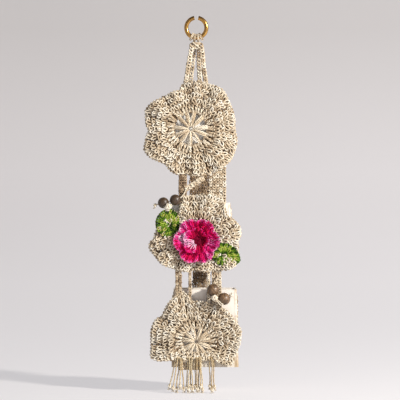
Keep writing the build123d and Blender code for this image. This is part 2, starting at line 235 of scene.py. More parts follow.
def yarnMaterial(name, stops, grooveShadeColour, pitch=7.0, depth=0.0006, sheen=0.2, gloss=0.4):
    # the ramp runs over each strand's tone, random and in some pieces carrying painted shade, shifted by slow
    # changes along the yarn
    material, tree, shader = startMaterial(name)
    ply = useGroup(tree, spunYarn, {"Ply Pitch": pitch})
    tone = addNode(tree, "ShaderNodeAttribute", attribute_name="tone")
    drift = mathNode(tree, "MULTIPLY", mathNode(tree, "SUBTRACT", ply.outputs["Slow"], 0.5), 0.45)
    fleck = mathNode(tree, "MULTIPLY", mathNode(tree, "SUBTRACT", ply.outputs["Fibre"], 0.5), 0.35)
    mixed = mathNode(tree, "ADD", mathNode(tree, "ADD", tone.outputs["Fac"], drift), fleck, clamp=True)
    colour = colourRamp(tree, mixed, stops)
    # painted shade: the colour darkens towards the groove colour in the ply grooves
    shaded = mixColour(tree, mathNode(tree, "MULTIPLY", ply.outputs["Groove"], 0.7), colour, grooveShadeColour)
    tree.links.new(shaded, shader.inputs["Base Color"])
    shader.inputs["Roughness"].default_value = 0.65
    shader.inputs["Specular IOR Level"].default_value = gloss
    shader.inputs["Sheen Weight"].default_value = sheen
    shader.inputs["Sheen Roughness"].default_value = 0.5
    bumpInto(tree, shader, ply.outputs["Height"], 0.8, depth)
    return material


yarnColours = {
    "ecru": [(0.0, (0.13, 0.075, 0.038)), (0.22, (0.37, 0.255, 0.15)), (0.5, (0.68, 0.55, 0.38)),
             (0.8, (0.90, 0.80, 0.63)), (1.0, (0.97, 0.92, 0.80))],
    "ecruGrooveShade": (0.10, 0.055, 0.022),
    # painted shade: this dark ramp and the pink and green ones below are shaded copies of the yarns
    "paintedShade": [(0.0, (0.045, 0.025, 0.010)), (1.0, (0.16, 0.10, 0.05))],
    "fringe": [(0.0, (0.42, 0.27, 0.11)), (0.5, (0.66, 0.48, 0.24)), (1.0, (0.86, 0.74, 0.50))],
    "pink": [(0.0, (0.14, 0.0, 0.012)), (0.25, (0.50, 0.0, 0.045)), (0.48, (0.86, 0.004, 0.11)),
             (0.68, (0.90, 0.02, 0.30)), (0.86, (0.95, 0.20, 0.55)), (1.0, (1.0, 0.66, 0.86))],
    "pinkGrooveShade": (0.10, 0.0, 0.015),
    "pinkPaintedShade": [(0.0, (0.10, 0.0, 0.012)), (1.0, (0.28, 0.0, 0.03))],
    "green": [(0.0, (0.012, 0.03, 0.003)), (0.28, (0.06, 0.15, 0.008)), (0.5, (0.19, 0.34, 0.02)),
              (0.7, (0.42, 0.52, 0.07)), (0.86, (0.60, 0.50, 0.16)), (1.0, (0.76, 0.70, 0.45))],
    "greenGrooveShade": (0.012, 0.03, 0.002),
    "greenPaintedShade": [(0.0, (0.015, 0.03, 0.004)), (1.0, (0.05, 0.09, 0.012))],
}


def yarnOf(name, colours, groove, **finish):
    return yarnMaterial(name, yarnColours[colours], yarnColours[groove], **finish)


# the finish of the painted shade yarns
paintedShadeFinish = {"sheen": 0.0, "gloss": 0.1}
petalFinish = {"pitch": 5.0, "depth": 0.0004, "sheen": 0.0}
ecruYarn = yarnOf("ecruYarn", "ecru", "ecruGrooveShade")
paintedShadeYarn = yarnOf("paintedShadeYarn", "paintedShade", "ecruGrooveShade", **paintedShadeFinish)
fringeYarn = yarnOf("fringeYarn", "fringe", "ecruGrooveShade", pitch=5.0)
tuftYarn = yarnMaterial("tuftYarn", yarnColours["ecru"][1:], yarnColours["paintedShade"][1][1], pitch=5.0)
pinkYarn = yarnOf("pinkYarn", "pink", "pinkGrooveShade", gloss=0.12, **petalFinish)
greenPaintedShade = yarnOf("greenPaintedShade", "greenPaintedShade", "greenGrooveShade", **paintedShadeFinish)
pinkPaintedShade = yarnOf("pinkPaintedShade", "pinkPaintedShade", "pinkGrooveShade", **paintedShadeFinish)
greenYarn = yarnOf("greenYarn", "green", "greenGrooveShade", gloss=0.15, **petalFinish)


# ---- yarn as tubes: one piece holds many short runs of yarn

def tubeShell(paths, radius, sides):
    # paths is count x points x 3; gives vertices, quads, end triangles and the run of each point
    count, points, _ = paths.shape
    tangent = np.gradient(paths, axis=1)
    tangent /= np.linalg.norm(tangent, axis=2, keepdims=True) + 1e-12
    helper = np.where(np.abs(tangent[:, :1, 1:2]) < 0.8, [[[0.0, 1.0, 0.0]]], [[[1.0, 0.0, 0.0]]])[:, 0]
    across = np.empty_like(paths)
    for place in range(points):
        along = tangent[:, place]
        helper = helper - (helper * along).sum(axis=1, keepdims=True) * along
        helper = helper / (np.linalg.norm(helper, axis=1, keepdims=True) + 1e-12)
        across[:, place] = helper
    other = np.cross(tangent, across)
    steps = np.linalg.norm(np.diff(paths, axis=1), axis=2)
    run = np.concatenate([np.zeros((count, 1)), np.cumsum(steps, axis=1)], axis=1)
    angle = np.arange(sides) * 2 * math.pi / sides
    size = np.broadcast_to(np.asarray(radius, float).reshape(-1, 1, 1, 1), (count, 1, 1, 1))
    ring = np.cos(angle)[:, None] * across[:, :, None, :] + np.sin(angle)[:, None] * other[:, :, None, :]
    body = (paths[:, :, None, :] + size * ring).reshape(count, -1, 3)
    tips = np.stack([
        paths[:, 0] - tangent[:, 0] * size[:, 0, 0] * 0.6,
        paths[:, -1] + tangent[:, -1] * size[:, 0, 0] * 0.6,
    ], axis=1)
    vertices = np.concatenate([body, tips], axis=1)
    first = np.arange(count)[:, None] * vertices.shape[1]
    rows, turns = np.meshgrid(np.arange(points - 1), np.arange(sides), indexing="ij")
    near, far = (rows * sides).ravel(), ((rows + 1) * sides).ravel()
    here, there = turns.ravel(), ((turns + 1) % sides).ravel()
    quad = np.stack([near + here, near + there, far + there, far + here], axis=1)
    quads = (first[:, :, None] + quad[None]).reshape(-1, 4)
    turn = np.arange(sides)
    low = np.stack([np.full(sides, points * sides), (turn + 1) % sides, turn], axis=1)
    last = (points - 1) * sides
    high = np.stack([np.full(sides, points * sides + 1), last + turn, last + (turn + 1) % sides], axis=1)
    triangles = (first[:, :, None] + np.concatenate([low, high])[None]).reshape(-1, 3)
    alongUv = np.stack([run[:, rows.ravel()], run[:, rows.ravel()], run[:, rows.ravel() + 1],
                        run[:, rows.ravel() + 1]], axis=2)
    aroundUv = np.stack([here, here + 1, here + 1, here], axis=1) / sides
    quadUv = np.stack([alongUv, np.broadcast_to(aroundUv[None], alongUv.shape)], axis=3).reshape(-1, 2)
    endRun = np.stack([np.zeros(count), run[:, -1]], axis=1)
    capUv = np.repeat(np.repeat(endRun, sides, axis=1), 3, axis=1).reshape(-1)
    triangleUv = np.stack([capUv, np.zeros_like(capUv)], axis=1)
    return vertices.reshape(-1, 3), quads, triangles, quadUv, triangleUv, vertices.shape[1]


def seedOf(name):
    return sum((place + 1) * ord(letter) for place, letter in enumerate(name))


def newMesh(name, vertices, faces, uvs, tone, material):
    mesh = bpy.data.meshes.new(name)
    mesh.from_pydata((vertices * millimetre).tolist(), [], faces)
    mesh.uv_layers.new(name="yarn").data.foreach_set("uv", uvs.astype(np.float32).ravel())
    mesh.attributes.new("tone", "FLOAT", "POINT").data.foreach_set("value", tone.astype(np.float32))
    mesh.shade_smooth()
    mesh.materials.append(material)
    piece = bpy.data.objects.new(name, mesh)
    bpy.context.scene.collection.objects.link(piece)
    return piece


def yarnPiece(name, batches, material, body=None, sides=6, toneRange=(0.25, 0.95)):
    # a batch is (paths, yarn radius) or (paths, yarn radius, tone of each path)
    rng = np.random.default_rng(seedOf(name))
    allVertices, allQuads, allTriangles, quadUvs, triangleUvs, tones = [], [], [], [], [], []
    start = 0
    for paths, radius, *given in batches:
        paths = np.asarray(paths, float)
        if len(paths) == 0:
            continue
        vertices, quads, triangles, quadUv, triangleUv, each = tubeShell(paths, radius, sides)
        tone = given[0] if given else rng.uniform(*toneRange, len(paths))
        tone = np.asarray(tone, float)
        if tone.ndim == 1:
            tone = np.repeat(tone, each)
        else:  # a tone for every point of every path
            tone = np.concatenate([np.repeat(tone, sides, axis=1), tone[:, :1], tone[:, -1:]], axis=1).ravel()
        allVertices.append(vertices)
        allQuads.append(quads + start)
        allTriangles.append(triangles + start)
        quadUvs.append(quadUv)
        triangleUvs.append(triangleUv)
        tones.append(tone)
        start += len(vertices)
    faces = np.concatenate(allQuads).tolist() + np.concatenate(allTriangles).tolist()
    uvs = np.concatenate(quadUvs + triangleUvs)
    piece = newMesh(name, np.concatenate(allVertices), faces, uvs, np.concatenate(tones), material)
    if body:
        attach(piece, body)
    return piece


def openSheet(name, grid, closed, openShare, material, body=None):
    # a thin web over a grid of points, with an opening in every cell; its dark material is painted shade
    # between and behind the stitches
    rows, columns, _ = grid.shape
    nextColumn = (np.arange(columns) + 1) % columns if closed else np.arange(1, columns)
    columnAt = np.arange(len(nextColumn))
    index = np.arange(rows * columns).reshape(rows, columns)
    corner = np.stack([
        index[:-1][:, columnAt], index[:-1][:, nextColumn], index[1:][:, nextColumn], index[1:][:, columnAt],
    ], axis=2).reshape(-1, 4)
    flat = grid.reshape(-1, 3)
    corners = flat[corner]
    middle = corners.mean(axis=1, keepdims=True)
    inner = (middle + (corners - middle) * math.sqrt(openShare)).reshape(-1, 3)
    innerIndex = len(flat) + np.arange(len(corner) * 4).reshape(-1, 4)
    faces = []
    for place in range(4):
        following = (place + 1) % 4
        faces.append(np.stack([
            corner[:, place], corner[:, following], innerIndex[:, following], innerIndex[:, place],
        ], axis=1))
    faces = np.concatenate(faces).tolist()
    vertices = np.concatenate([flat, inner])
    tone = np.random.default_rng(seedOf(name)).uniform(0.2, 0.9, len(vertices))
    piece = newMesh(name, vertices, faces, np.zeros((len(faces) * 4, 2)), tone, material)
    if body:
        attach(piece, body)
    return piece


# ---- stitches, drawn on flat cloth: two numbers across the cloth and one for the height off it

def resample(line, count):
    line = np.asarray(line, float)
    run = np.concatenate([[0], np.cumsum(np.linalg.norm(np.diff(line, axis=0), axis=1))])
    at = np.linspace(0, run[-1], count)
    return np.column_stack([np.interp(at, run, line[:, axis]) for axis in range(line.shape[1])])


def sidewaysOf(line):
    along = np.gradient(line, axis=0)
    along /= np.linalg.norm(along, axis=1, keepdims=True) + 1e-12
    return np.column_stack([-along[:, 1], along[:, 0]])


def stitchFrame(foot, head):
    along = head - foot
    length = np.linalg.norm(along, axis=1, keepdims=True) + 1e-9
    side = np.column_stack([-along[:, 1], along[:, 0]]) / length
    return along, length, side


def crossedLegs(foot, head, halfWidth, lift):
    # two strands that cross between the foot and the head of each stitch
    along, _, side = stitchFrame(foot, head)
    share = np.linspace(0, 1, 5)
    swing, belly = np.cos(math.pi * share), np.sin(math.pi * share)
    strands = []
    for sign, rise in ((1, 1.0), (-1, -0.35)):
        flat = foot[:, None] + share[:, None] * along[:, None] \
            + (sign * halfWidth * swing)[:, None] * side[:, None]
        height = np.broadcast_to(lift * rise * belly, flat.shape[:2])
        strands.append(np.concatenate([flat, height[..., None]], axis=2))
    return np.concatenate(strands)


def loopStitches(foot, head, halfWidth, lift, rng, wander=0.22, overlap=1.14):
    # one open loop for each stitch: its foot lies low and its head rises over the next foot
    along, length, side = stitchFrame(foot, head)
    count = (len(foot), 1)
    turn = rng.normal(0, wander, count)
    ahead = along / length * np.cos(turn) + side * np.sin(turn)
    aside = side * np.cos(turn) - along / length * np.sin(turn)
    angle = np.linspace(-2.8, 2.8, 11)
    reach = length / 2 * overlap * rng.uniform(0.9, 1.12, count)
    wide = halfWidth * rng.uniform(0.8, 1.2, count)
    flat = ((foot + head) / 2)[:, None] + (reach * np.cos(angle))[..., None] * ahead[:, None] \
        + (wide * np.sin(angle) * (0.9 + 0.25 * np.cos(angle)))[..., None] * aside[:, None]
    height = lift * rng.uniform(0.65, 1.35, count) * (0.5 + 0.5 * np.cos(angle)) ** 0.8
    return np.concatenate([flat, height[..., None]], axis=2)


def loopTones(loops, low, high, paintedShade, rng):
    # each loop has its own random tone, with painted shade darkening its foot, where the next ones cover it
    own = rng.uniform(low, high, (len(loops), 1))
    return np.clip(own + paintedShade * (np.cos(np.linspace(-2.8, 2.8, loops.shape[1])) - 0.35), 0, 1)


def chainStitches(start, end, pitch, halfWidth, lift, rng, wander=0.16):
    # a crocheted chain: loops that each come out of the one before
    start, end = np.array(start, float), np.array(end, float)
    count = max(3, round(np.linalg.norm(end - start) / pitch))
    joints = start + (end - start) * np.linspace(0, 1, count + 1)[:, None]
    joints[1:-1] += rng.normal(0, halfWidth * 0.12, joints[1:-1].shape)
    return loopStitches(joints[:-1], joints[1:], halfWidth, lift, rng, wander, 1.28)


def slantWraps(foot, head, halfWidth, lift, level):
    # a short strand laid slanting across each stitch
    along, length, side = stitchFrame(foot, head)
    share = np.linspace(-1, 1, 5)
    centre = foot + along * level
    slant = along / length
    flat = centre[:, None] + (share * halfWidth * 1.25)[:, None] * side[:, None] \
        + (share * halfWidth * 0.75)[:, None] * slant[:, None]
    height = np.broadcast_to(lift * (1.9 - 1.9 * np.abs(share) ** 2.4), flat.shape[:2])
    return np.concatenate([flat, height[..., None]], axis=2)


def headLoops(head, forward, halfWidth, lift):
    # the open loop at the head of each stitch
    side = np.column_stack([-forward[:, 1], forward[:, 0]])
    angle = np.linspace(-2.5, 2.5, 7)
    flat = head[:, None] + (np.sin(angle) * halfWidth)[:, None] * side[:, None] \
        + (np.cos(angle) * halfWidth)[:, None] * forward[:, None]
    height = np.broadcast_to(lift * (0.6 + 0.4 * np.cos(angle)), flat.shape[:2])
    return np.concatenate([flat, height[..., None]], axis=2)


def ropeLine(line, stitches, halfWidth, lift):
    # two strands wound round each other along a line, one crossing for each stitch
    line = resample(line, stitches * 4 + 1)
    side = sidewaysOf(line)
    phase = np.arange(len(line)) * math.pi / 4
    strands = []
    for turn in (0, math.pi):
        flat = line + side * (halfWidth * np.sin(phase + turn))[:, None]
        strands.append(np.column_stack([flat, lift * np.cos(phase + turn)]))
    return np.stack(strands)


def scatter(points, amount, rng):
    return points + rng.normal(0, amount, points.shape)


def clothField(width, height, column, row, rng, halfWidth, lift, corner=0.0, loose=0.25):
    # rows of stitches over a rectangle about the middle; gives legs, wraps and the ropes between rows
    columns, rows = max(2, round(width / column)), max(1, round(height / row))
    across = (np.arange(columns) + 0.5) / columns * width - width / 2
    levels = np.linspace(-height / 2, height / 2, rows + 1)
    legs, wraps, ropes = [], [], []
    for low, high in zip(levels, levels[1:]):
        foot = scatter(np.column_stack([across, np.full(columns, low)]), loose, rng)
        head = scatter(np.column_stack([across, np.full(columns, high)]), loose, rng)
        legs.append(twistedPosts(foot, head, halfWidth, lift, 2))
        wraps.append(slantWraps(foot, head, halfWidth, lift, 0.62))
    for level in levels:
        past = max(0.0, abs(level) - (height / 2 - corner))
        reach = width / 2 - (corner - math.sqrt(max(corner ** 2 - past ** 2, 0.0)))
        ropes.append(ropeLine(np.array([[-reach, level], [reach, level]]), columns, halfWidth * 0.75,
                              lift * 0.9))
    return np.concatenate(legs), np.concatenate(wraps), np.concatenate(ropes)


def layOn(strands, place):
    return place(strands[..., 0], strands[..., 1], strands[..., 2])


def frontPlace(centre, ruffle=None):
    # cloth in the plane of the laces; its height goes forwards, and a ruffle adds to it
    def place(across, up, height):
        wave = ruffle(across, up) if ruffle else 0.0
        return np.stack([centre[0] + across, centre[1] - height - wave, centre[2] + up], axis=-1)
    return place


def backPlace(centre):
    def place(across, up, height):
        return np.stack([centre[0] + across, centre[1] + height, centre[2] + up], axis=-1)
    return place


def sidePlace(centre, outward):
    # cloth that runs from front to back beside a pot
    def place(across, up, height):
        return np.stack([centre[0] + outward * height, centre[1] + across, centre[2] + up], axis=-1)
    return place


def underPlace(centre):
    def place(across, up, height):
        return np.stack([centre[0] + across, centre[1] + up, centre[2] - height], axis=-1)
    return place


# ---- laces: a rosette of clusters, dense rounds, then fans out to the rim

laces = {
    "upper": {"eye": (0.505, 0.497), "rosette": 33.0, "clusters": 11, "fans": 11, "body": "upper_tier",
              "turn": 0.15},
    "middle": {"eye": (0.497, 0.405), "rosette": 30.0, "clusters": 12, "fans": 10, "body": "middle_tier",
               "turn": 0.3},
    "lower": {"eye": (0.506, 0.303), "rosette": 27.0, "clusters": 11, "fans": 9, "body": "lower_tier",
              "turn": 0.1},
    # each round: where it starts and ends between the rosette and the rim, the space between its
    # stitches, how far their feet draw together into fans, how far the fans dip, and its stitch
    "rounds": [
        {"start": 0.0, "end": 0.27, "column": 6.3, "gather": 1.0, "dip": 0.0, "stitch": "posts"},
        {"start": 0.27, "end": 0.46, "column": 6.9, "gather": 0.9, "dip": 0.6, "stitch": "loops"},
        {"start": 0.46, "end": 0.64, "column": 6.9, "gather": 0.75, "dip": 1.2, "stitch": "loops"},
        {"start": 0.64, "end": 0.82, "column": 6.9, "gather": 0.75, "dip": 1.6, "stitch": "loops"},
        {"start": 0.82, "end": 0.99, "column": 6.7, "gather": 0.85, "dip": 1.6, "stitch": "loops"},
    ],
    # loopTone: lowest and highest tone of a loop, and the painted shade at its foot
    "loopWidth": 2.75, "loopLift": 4.1, "postCrossings": 2, "ropeSink": 1.0, "loopTone": (0.42, 0.95, 0.20),
    "hub": 5.4, "yarnRadius": 1.5, "postSpread": 1.5, "lift": 2.3, "rosetteShare": 0.58,
    "picotSpace": 6.4, "picotSize": 1.9,
    "ruffle": 3.2, "wingGap": 0.5, "wingFold": 0.34, "stray": 1.0, "wander": 0.34,
}


def smoothRound(values, width):
    kernel = np.hanning(width * 2 + 1)
    kernel /= kernel.sum()
    padded = np.concatenate([values[-width:], values, values[:width]])
    return np.convolve(padded, kernel, mode="valid")


def curveOver(theta):
    # reads a closed curve, given at even angles, at any other angles
    return lambda values, angle: np.interp(angle, theta, values, period=2 * math.pi)


def pointsAt(theta, radius):
    return np.column_stack([np.sin(theta) * radius, np.cos(theta) * radius])


def evenAngles(theta, radius, count, offset):
    # angles that divide a closed curve evenly by its length
    curve = pointsAt(np.append(theta, theta[0] + 2 * math.pi), np.append(radius, radius[0]))
    run = np.concatenate([[0], np.cumsum(np.linalg.norm(np.diff(curve, axis=0), axis=1))])
    at = (np.arange(count) + offset) / count * run[-1]
    return np.interp(at, run, np.append(theta, theta[0] + 2 * math.pi)), run[-1]


def twistedPosts(foot, head, halfWidth, lift, crossings):
    # two strands that wind round each other up each post
    along, _, side = stitchFrame(foot, head)
    share = np.linspace(0, 1, crossings * 3 + 2)
    phase = share * math.pi * crossings + 0.5
    strands = []
    for turn in (0, math.pi):
        flat = foot[:, None] + share[:, None] * along[:, None] \
            + (halfWidth * np.sin(phase + turn))[:, None] * side[:, None]
        rise = (0.45 + 0.55 * np.cos(phase + turn)) * np.sin(math.pi * share) ** 0.3
        height = np.broadcast_to(lift * rise, flat.shape[:2])
        strands.append(np.concatenate([flat, height[..., None]], axis=2))
    return np.concatenate(strands)


def backLegs(foot, head, drop):
    # the plain strand that shows on the wrong side of a stitch
    share = np.linspace(0, 1, 4)
    flat = foot[:, None] + share[:, None] * (head - foot)[:, None]
    height = np.broadcast_to(-drop * np.sin(math.pi * share) ** 0.5, flat.shape[:2])
    return np.concatenate([flat, height[..., None]], axis=2)


def webGrid(angles, radii, level, place):
    # rows of points round a rim, one row for each list of radii
    rows = [pointsAt(angles, radius) for radius in radii]
    return np.stack([layOn(np.column_stack([row, np.full(len(row), level)]), place) for row in rows])


def buildLace(name):
    node = f"{name}_front_lace"
    design = laces[name]
    rng = np.random.default_rng(seedOf(name))
    low, high = nodeBox(node)
    middle, theta, rim = nodeRim(node, design, 720)
    inner = smoothRound(np.minimum(design["rosette"], smoothRound(rim, 40) * laces["rosetteShare"]), 12)
    centre = (middle[0], (low[1] + high[1]) / 2, middle[1])
    onCurve = curveOver(theta)
    potLow, potHigh = nodeBox(f"{name}_pot")
    potMiddle = (potLow[0] + potHigh[0]) / 2
    wingStart = (potHigh[0] - potLow[0]) / 2 + laces["wingGap"]  # past the rim, so that the pot lifts freely

    def ruffle(across, up):
        angle, radius = np.arctan2(across, up), np.hypot(across, up)
        share = np.clip((radius - 34) / 50, 0, 1)
        wave = np.sin(design["fans"] * (angle - design["turn"]) + 1.6) + 0.7 * np.sin(3 * angle + 0.5)
        wing = np.clip(np.abs(centre[0] + across - potMiddle) - wingStart, 0, None) * laces["wingFold"]
        return share * (wave + 1.2) * laces["ruffle"] + 0.4 - wing  # the parts beside the pot fall back

    place = frontPlace(centre, ruffle)
    yarn, spread, lift = laces["yarnRadius"], laces["postSpread"], laces["lift"]
    posts, wraps, ropes, backs = [], [], [], []
    around = np.append(theta, theta[0] + 2 * math.pi)
    step = 2 * math.pi / design["fans"]
    fanPhase = np.cos((theta - design["turn"]) / step * 2 * math.pi)
    footDip = 0.0 * fanPhase
    for given in laces["rounds"]:
        dip = (fanPhase - 1) * given["dip"]
        footCurve = inner + (rim - inner) * given["start"] + footDip
        headCurve = inner + (rim - inner) * given["end"] + dip
        footDip = dip
        count = round(evenAngles(theta, (footCurve + headCurve) / 2, 10, 0)[1] / given["column"])
        angle, _ = evenAngles(theta, (footCurve + headCurve) / 2, count, rng.uniform())
        nearest = np.round((angle - design["turn"]) / step) * step + design["turn"]
        footAngle = nearest + (angle - nearest) * given["gather"]
        foot = scatter(pointsAt(footAngle, onCurve(footCurve, footAngle)), laces["stray"], rng)
        head = scatter(pointsAt(angle, onCurve(headCurve, angle) - 0.8), laces["stray"], rng)
        if given["stitch"] == "posts":
            posts.append((twistedPosts(foot, head, spread, lift, laces["postCrossings"]), yarn))
            wraps.append(slantWraps(foot, head, spread, lift, 0.9))
        else:
            loops = loopStitches(foot, head, laces["loopWidth"], laces["loopLift"], rng, laces["wander"])
            posts.append((loops, yarn, loopTones(loops, *laces["loopTone"], rng)))
        backs.append(backLegs(foot, head, 1.3))
        ropes.append(ropeLine(pointsAt(around, np.append(headCurve, headCurve[0]) - 0.4), count, 1.25, 1.0))
    ropes.append(ropeLine(pointsAt(around, np.append(inner, inner[0])), 54, 1.1, 1.2))
    lastCurve = headCurve
    count = round(evenAngles(theta, rim, 10, 0)[1] / laces["picotSpace"])
    angle, _ = evenAngles(theta, rim, count, rng.uniform())
    forward = pointsAt(angle, np.ones(count))
    picots = headLoops(pointsAt(angle, onCurve(lastCurve, angle) + 0.9), forward, laces["picotSize"], 1.1)
    webAngles = np.linspace(-math.pi, math.pi, 132, endpoint=False)
    shares = np.linspace(0.0, 0.95, 12)
    radii = [onCurve(inner + (lastCurve - inner) * share, webAngles) for share in shares]
    grid = webGrid(webAngles, radii, -0.7, place)
    # painted shade: the dark web behind the stitches
    web = openSheet(f"{name}_lace_web", grid, True, 0.10, paintedShadeYarn, body=design["body"])
    stitches = yarnPiece(f"{name}_lace_stitches", [
        *((layOn(strands, place), *rest) for strands, *rest in posts),
        (layOn(np.concatenate(wraps), place), yarn * 0.72),
        # painted shade: the back legs get dark tones
        (layOn(np.concatenate(backs), place), yarn, rng.uniform(0.0, 0.35, sum(map(len, backs)))),
    ], ecruYarn, body=design["body"], toneRange=(0.35, 0.95))
    # painted shade: the sunk ropes between the rounds get dark tones; the picots keep random tones of their
    # own
    edging = yarnPiece(f"{name}_lace_rounds", [
        *((layOn(rope - [0, 0, laces["ropeSink"]], place), yarn * 0.85) for rope in ropes),
        (layOn(picots, place), yarn * 0.9, rng.uniform(0.3, 0.95, len(picots))),
    ], ecruYarn, body=design["body"], toneRange=(0.0, 0.5))
    rosette = buildRosette(name, design, theta, inner, place, rng)
    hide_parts(node)
    print(f"{name} lace made")


def buildRosette(name, design, theta, inner, place, rng):
    # clusters of strands from a small ring out to the first round, open between them
    strands = []
    share = np.linspace(0, 1, 8)
    for cluster in range(design["clusters"]):
        angle = (cluster + 0.5) / design["clusters"] * 2 * math.pi + rng.normal(0, 0.05)
        reach = np.interp((angle + math.pi) % (2 * math.pi) - math.pi, theta, inner, period=2 * math.pi)
        outward = np.array([math.sin(angle), math.cos(angle)])
        side = np.array([math.cos(angle), -math.sin(angle)])
        for offset in (-1, 0, 1):
            spread = offset * (1.7 * np.sin(math.pi * share) + 2.6 * share ** 1.5)
            spread = spread + 0.6 * rng.normal() * share
            radius = laces["hub"] + (reach - 4.4) * share
            flat = radius[:, None] * outward + spread[:, None] * side
            height = np.sin(math.pi * share) * (3.8 - 1.6 * abs(offset)) + 0.2 + 0.4 * rng.normal()
            strands.append(np.column_stack([flat, height]))
    angles = np.linspace(0, 2 * math.pi, 60)
    hub = ropeLine(pointsAt(angles, np.full(60, laces["hub"])), 12, 0.8, 1.0)
    return yarnPiece(f"{name}_lace_rosette", [
        (layOn(np.stack(strands), place), 1.6), (layOn(hub, place), 1.1),
    ], ecruYarn, body=design["body"], toneRange=(0.4, 0.9))


# ---- plain crocheted cloth: backs, bands, slings and necks

cloth = {
    "column": 5.8, "row": 10.5, "yarnRadius": 1.25, "legSpread": 1.15, "lift": 1.1,
    "backTopDrop": 7.0, "corner": 18.0,
    "margin": 2.0, "webInset": 6.0, "bandColumn": 5.0, "slingRow": 9.0, "slingThickness": 3.5,
}


def clothPiece(name, width, height, place, body, column=cloth["column"], row=cloth["row"], corner=0.0):
    rng = np.random.default_rng(seedOf(name))
    yarn = cloth["yarnRadius"]
    fields = clothField(width, height, column, row, rng, cloth["legSpread"], cloth["lift"], corner)
    if corner:
        fields = [*(trimCorners(field, width, height, corner) for field in fields[:2]), fields[2]]
    legs, wraps, ropes = (layOn(field, place) for field in fields)
    return yarnPiece(name, [(legs, yarn), (wraps, yarn * 0.75), (ropes, yarn * 0.8)], ecruYarn, body=body)


def trimCorners(strands, width, height, corner):
    reachX = np.abs(strands[:, :, 0]).max(axis=1) - (width / 2 - corner)
    reachZ = np.abs(strands[:, :, 1]).max(axis=1) - (height / 2 - corner)
    outside = (reachX > 0) & (reachZ > 0) & (np.hypot(reachX, reachZ) > corner)
    return strands[~outside]


def sheetGrid(width, height, columns, rows, level, place):
    across, up = np.meshgrid(np.linspace(-width / 2, width / 2, columns),
                             np.linspace(-height / 2, height / 2, rows))
    return layOn(np.stack([across, up, np.full_like(across, level)], axis=-1), place)


def buildBack(name, body):
    node = f"{name}_back_panel"
    low, high = nodeBox(node)
    high[2] -= cloth["backTopDrop"]
    width, height = high[0] - low[0] - cloth["margin"], high[2] - low[2] - cloth["margin"]
    place = backPlace((low + high) / 2)
    stitches = clothPiece(f"{name}_back_stitches", width, height, place, body, corner=cloth["corner"])
    width, height = width - cloth["webInset"], height - cloth["webInset"]
    grid = sheetGrid(width, height, 24, 22, -0.8, place)
    # painted shade: the dark web behind the back stitches
    web = openSheet(f"{name}_back_web", grid, False, 0.25, paintedShadeYarn, body=body)
    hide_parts(node)


def buildBands(name, body):
    node = f"{name}_side_bands"
    points = nodePoints(node)
    levels = np.unique(np.round(points[:, 2], 1))
    aside = points[:, 0] - points[:, 0].mean()
    low, high = nodeBox(node)
    length = high[1] - low[1] + 4
    for level, bottom, top in (("low", levels[0], levels[1]), ("high", levels[2], levels[3])):
        nearby = np.abs(points[:, 2] - (bottom + top) / 2) < 7
        for side, label in ((-1, "left"), (1, "right")):
            here = points[nearby & (side * aside > 0)]
            place = sidePlace((here.min(axis=0) + here.max(axis=0)) / 2, side)
            clothPiece(f"{name}_{level}_{label}_band", length, top - bottom - 3, place, body,
                                     column=cloth["bandColumn"], row=top - bottom)
    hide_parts(node)


def buildSling(name, body):
    node = f"{name}_base_sling"
    low, high = nodeBox(node)
    thickness, row = cloth["slingThickness"], cloth["slingRow"]
    middle = (low + high) / 2
    place = underPlace((middle[0], middle[1], low[2] + thickness / 2))
    width, depth = high[0] - low[0] - cloth["margin"], high[1] - low[1] - cloth["margin"]
    base = clothPiece(f"{name}_sling_base", width, depth, place, body, row=row)
    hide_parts(node)
    legHeight = high[2] - low[2]
    if legHeight > 2 * thickness:
        place = frontPlace((middle[0], low[1] + thickness / 2, middle[2]))
        clothPiece(f"{name}_sling_leg", width, legHeight, place, body, row=row)


necks = {
    "upper": {"above": "upper_tier", "below": "middle_tier", "joint": -320.0},
    "lower": {"above": "middle_tier", "below": "lower_tier", "joint": -508.0},
    "blendReach": 16.0, "pitch": 5.4, "lift": 2.6, "netPitch": 6.0, "diagonalSpread": 2.3,
    # each strap: how many chains it has, how wide they are, their yarn, how far they run into the
    # cloth past each end, their tones and the tone of the rows behind them; the upper left strap's
    # dark tones and the dark rows behind are painted shade
    "straps": {
        "upper_neck_left_strap": {"piece": "upper_neck_left_chains", "chains": 3, "width": 2.2, "yarn": 1.55,
                                  "runIn": 8.0, "tones": (0.0, 0.36), "backingShade": 0.0, "inward": 4.0},
        "upper_neck_right_strap": {"piece": "upper_neck_right_chains", "chains": 5, "width": 2.5,
                                   "yarn": 1.45,
                                   "runIn": 6.0, "tones": (0.3, 1.0), "backingShade": 0.12, "inward": 0.0},
        "lower_neck_left_strap": {"piece": "lower_neck_left_chains", "chains": 2, "width": 2.1, "yarn": 1.45,
                                  "runIn": 8.0, "tones": (0.05, 0.7), "backingShade": 0.12, "inward": 0.0},
        "lower_neck_inner_strap": {"piece": "lower_neck_inner_chain", "chains": 1, "width": 2.1, "yarn": 1.45,
                                   "runIn": 8.0, "tones": (0.05, 0.7), "backingShade": 0.12, "inward": 0.0},
        "lower_neck_column_strap": {"piece": "lower_neck_column_chain", "chains": 1, "width": 2.1,
                                    "yarn": 1.45,
                                    "runIn": 8.0, "tones": (0.5, 0.95), "backingShade": 0.12, "inward": 0.0},
        "lower_neck_right_strap": {"piece": "lower_neck_right_chains", "chains": 3, "width": 2.3,
                                   "yarn": 1.45,
                                   "runIn": 8.0, "tones": (0.15, 0.8), "backingShade": 0.12, "inward": 0.0},
    },
}


def bendAcross(piece):
    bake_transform(piece)


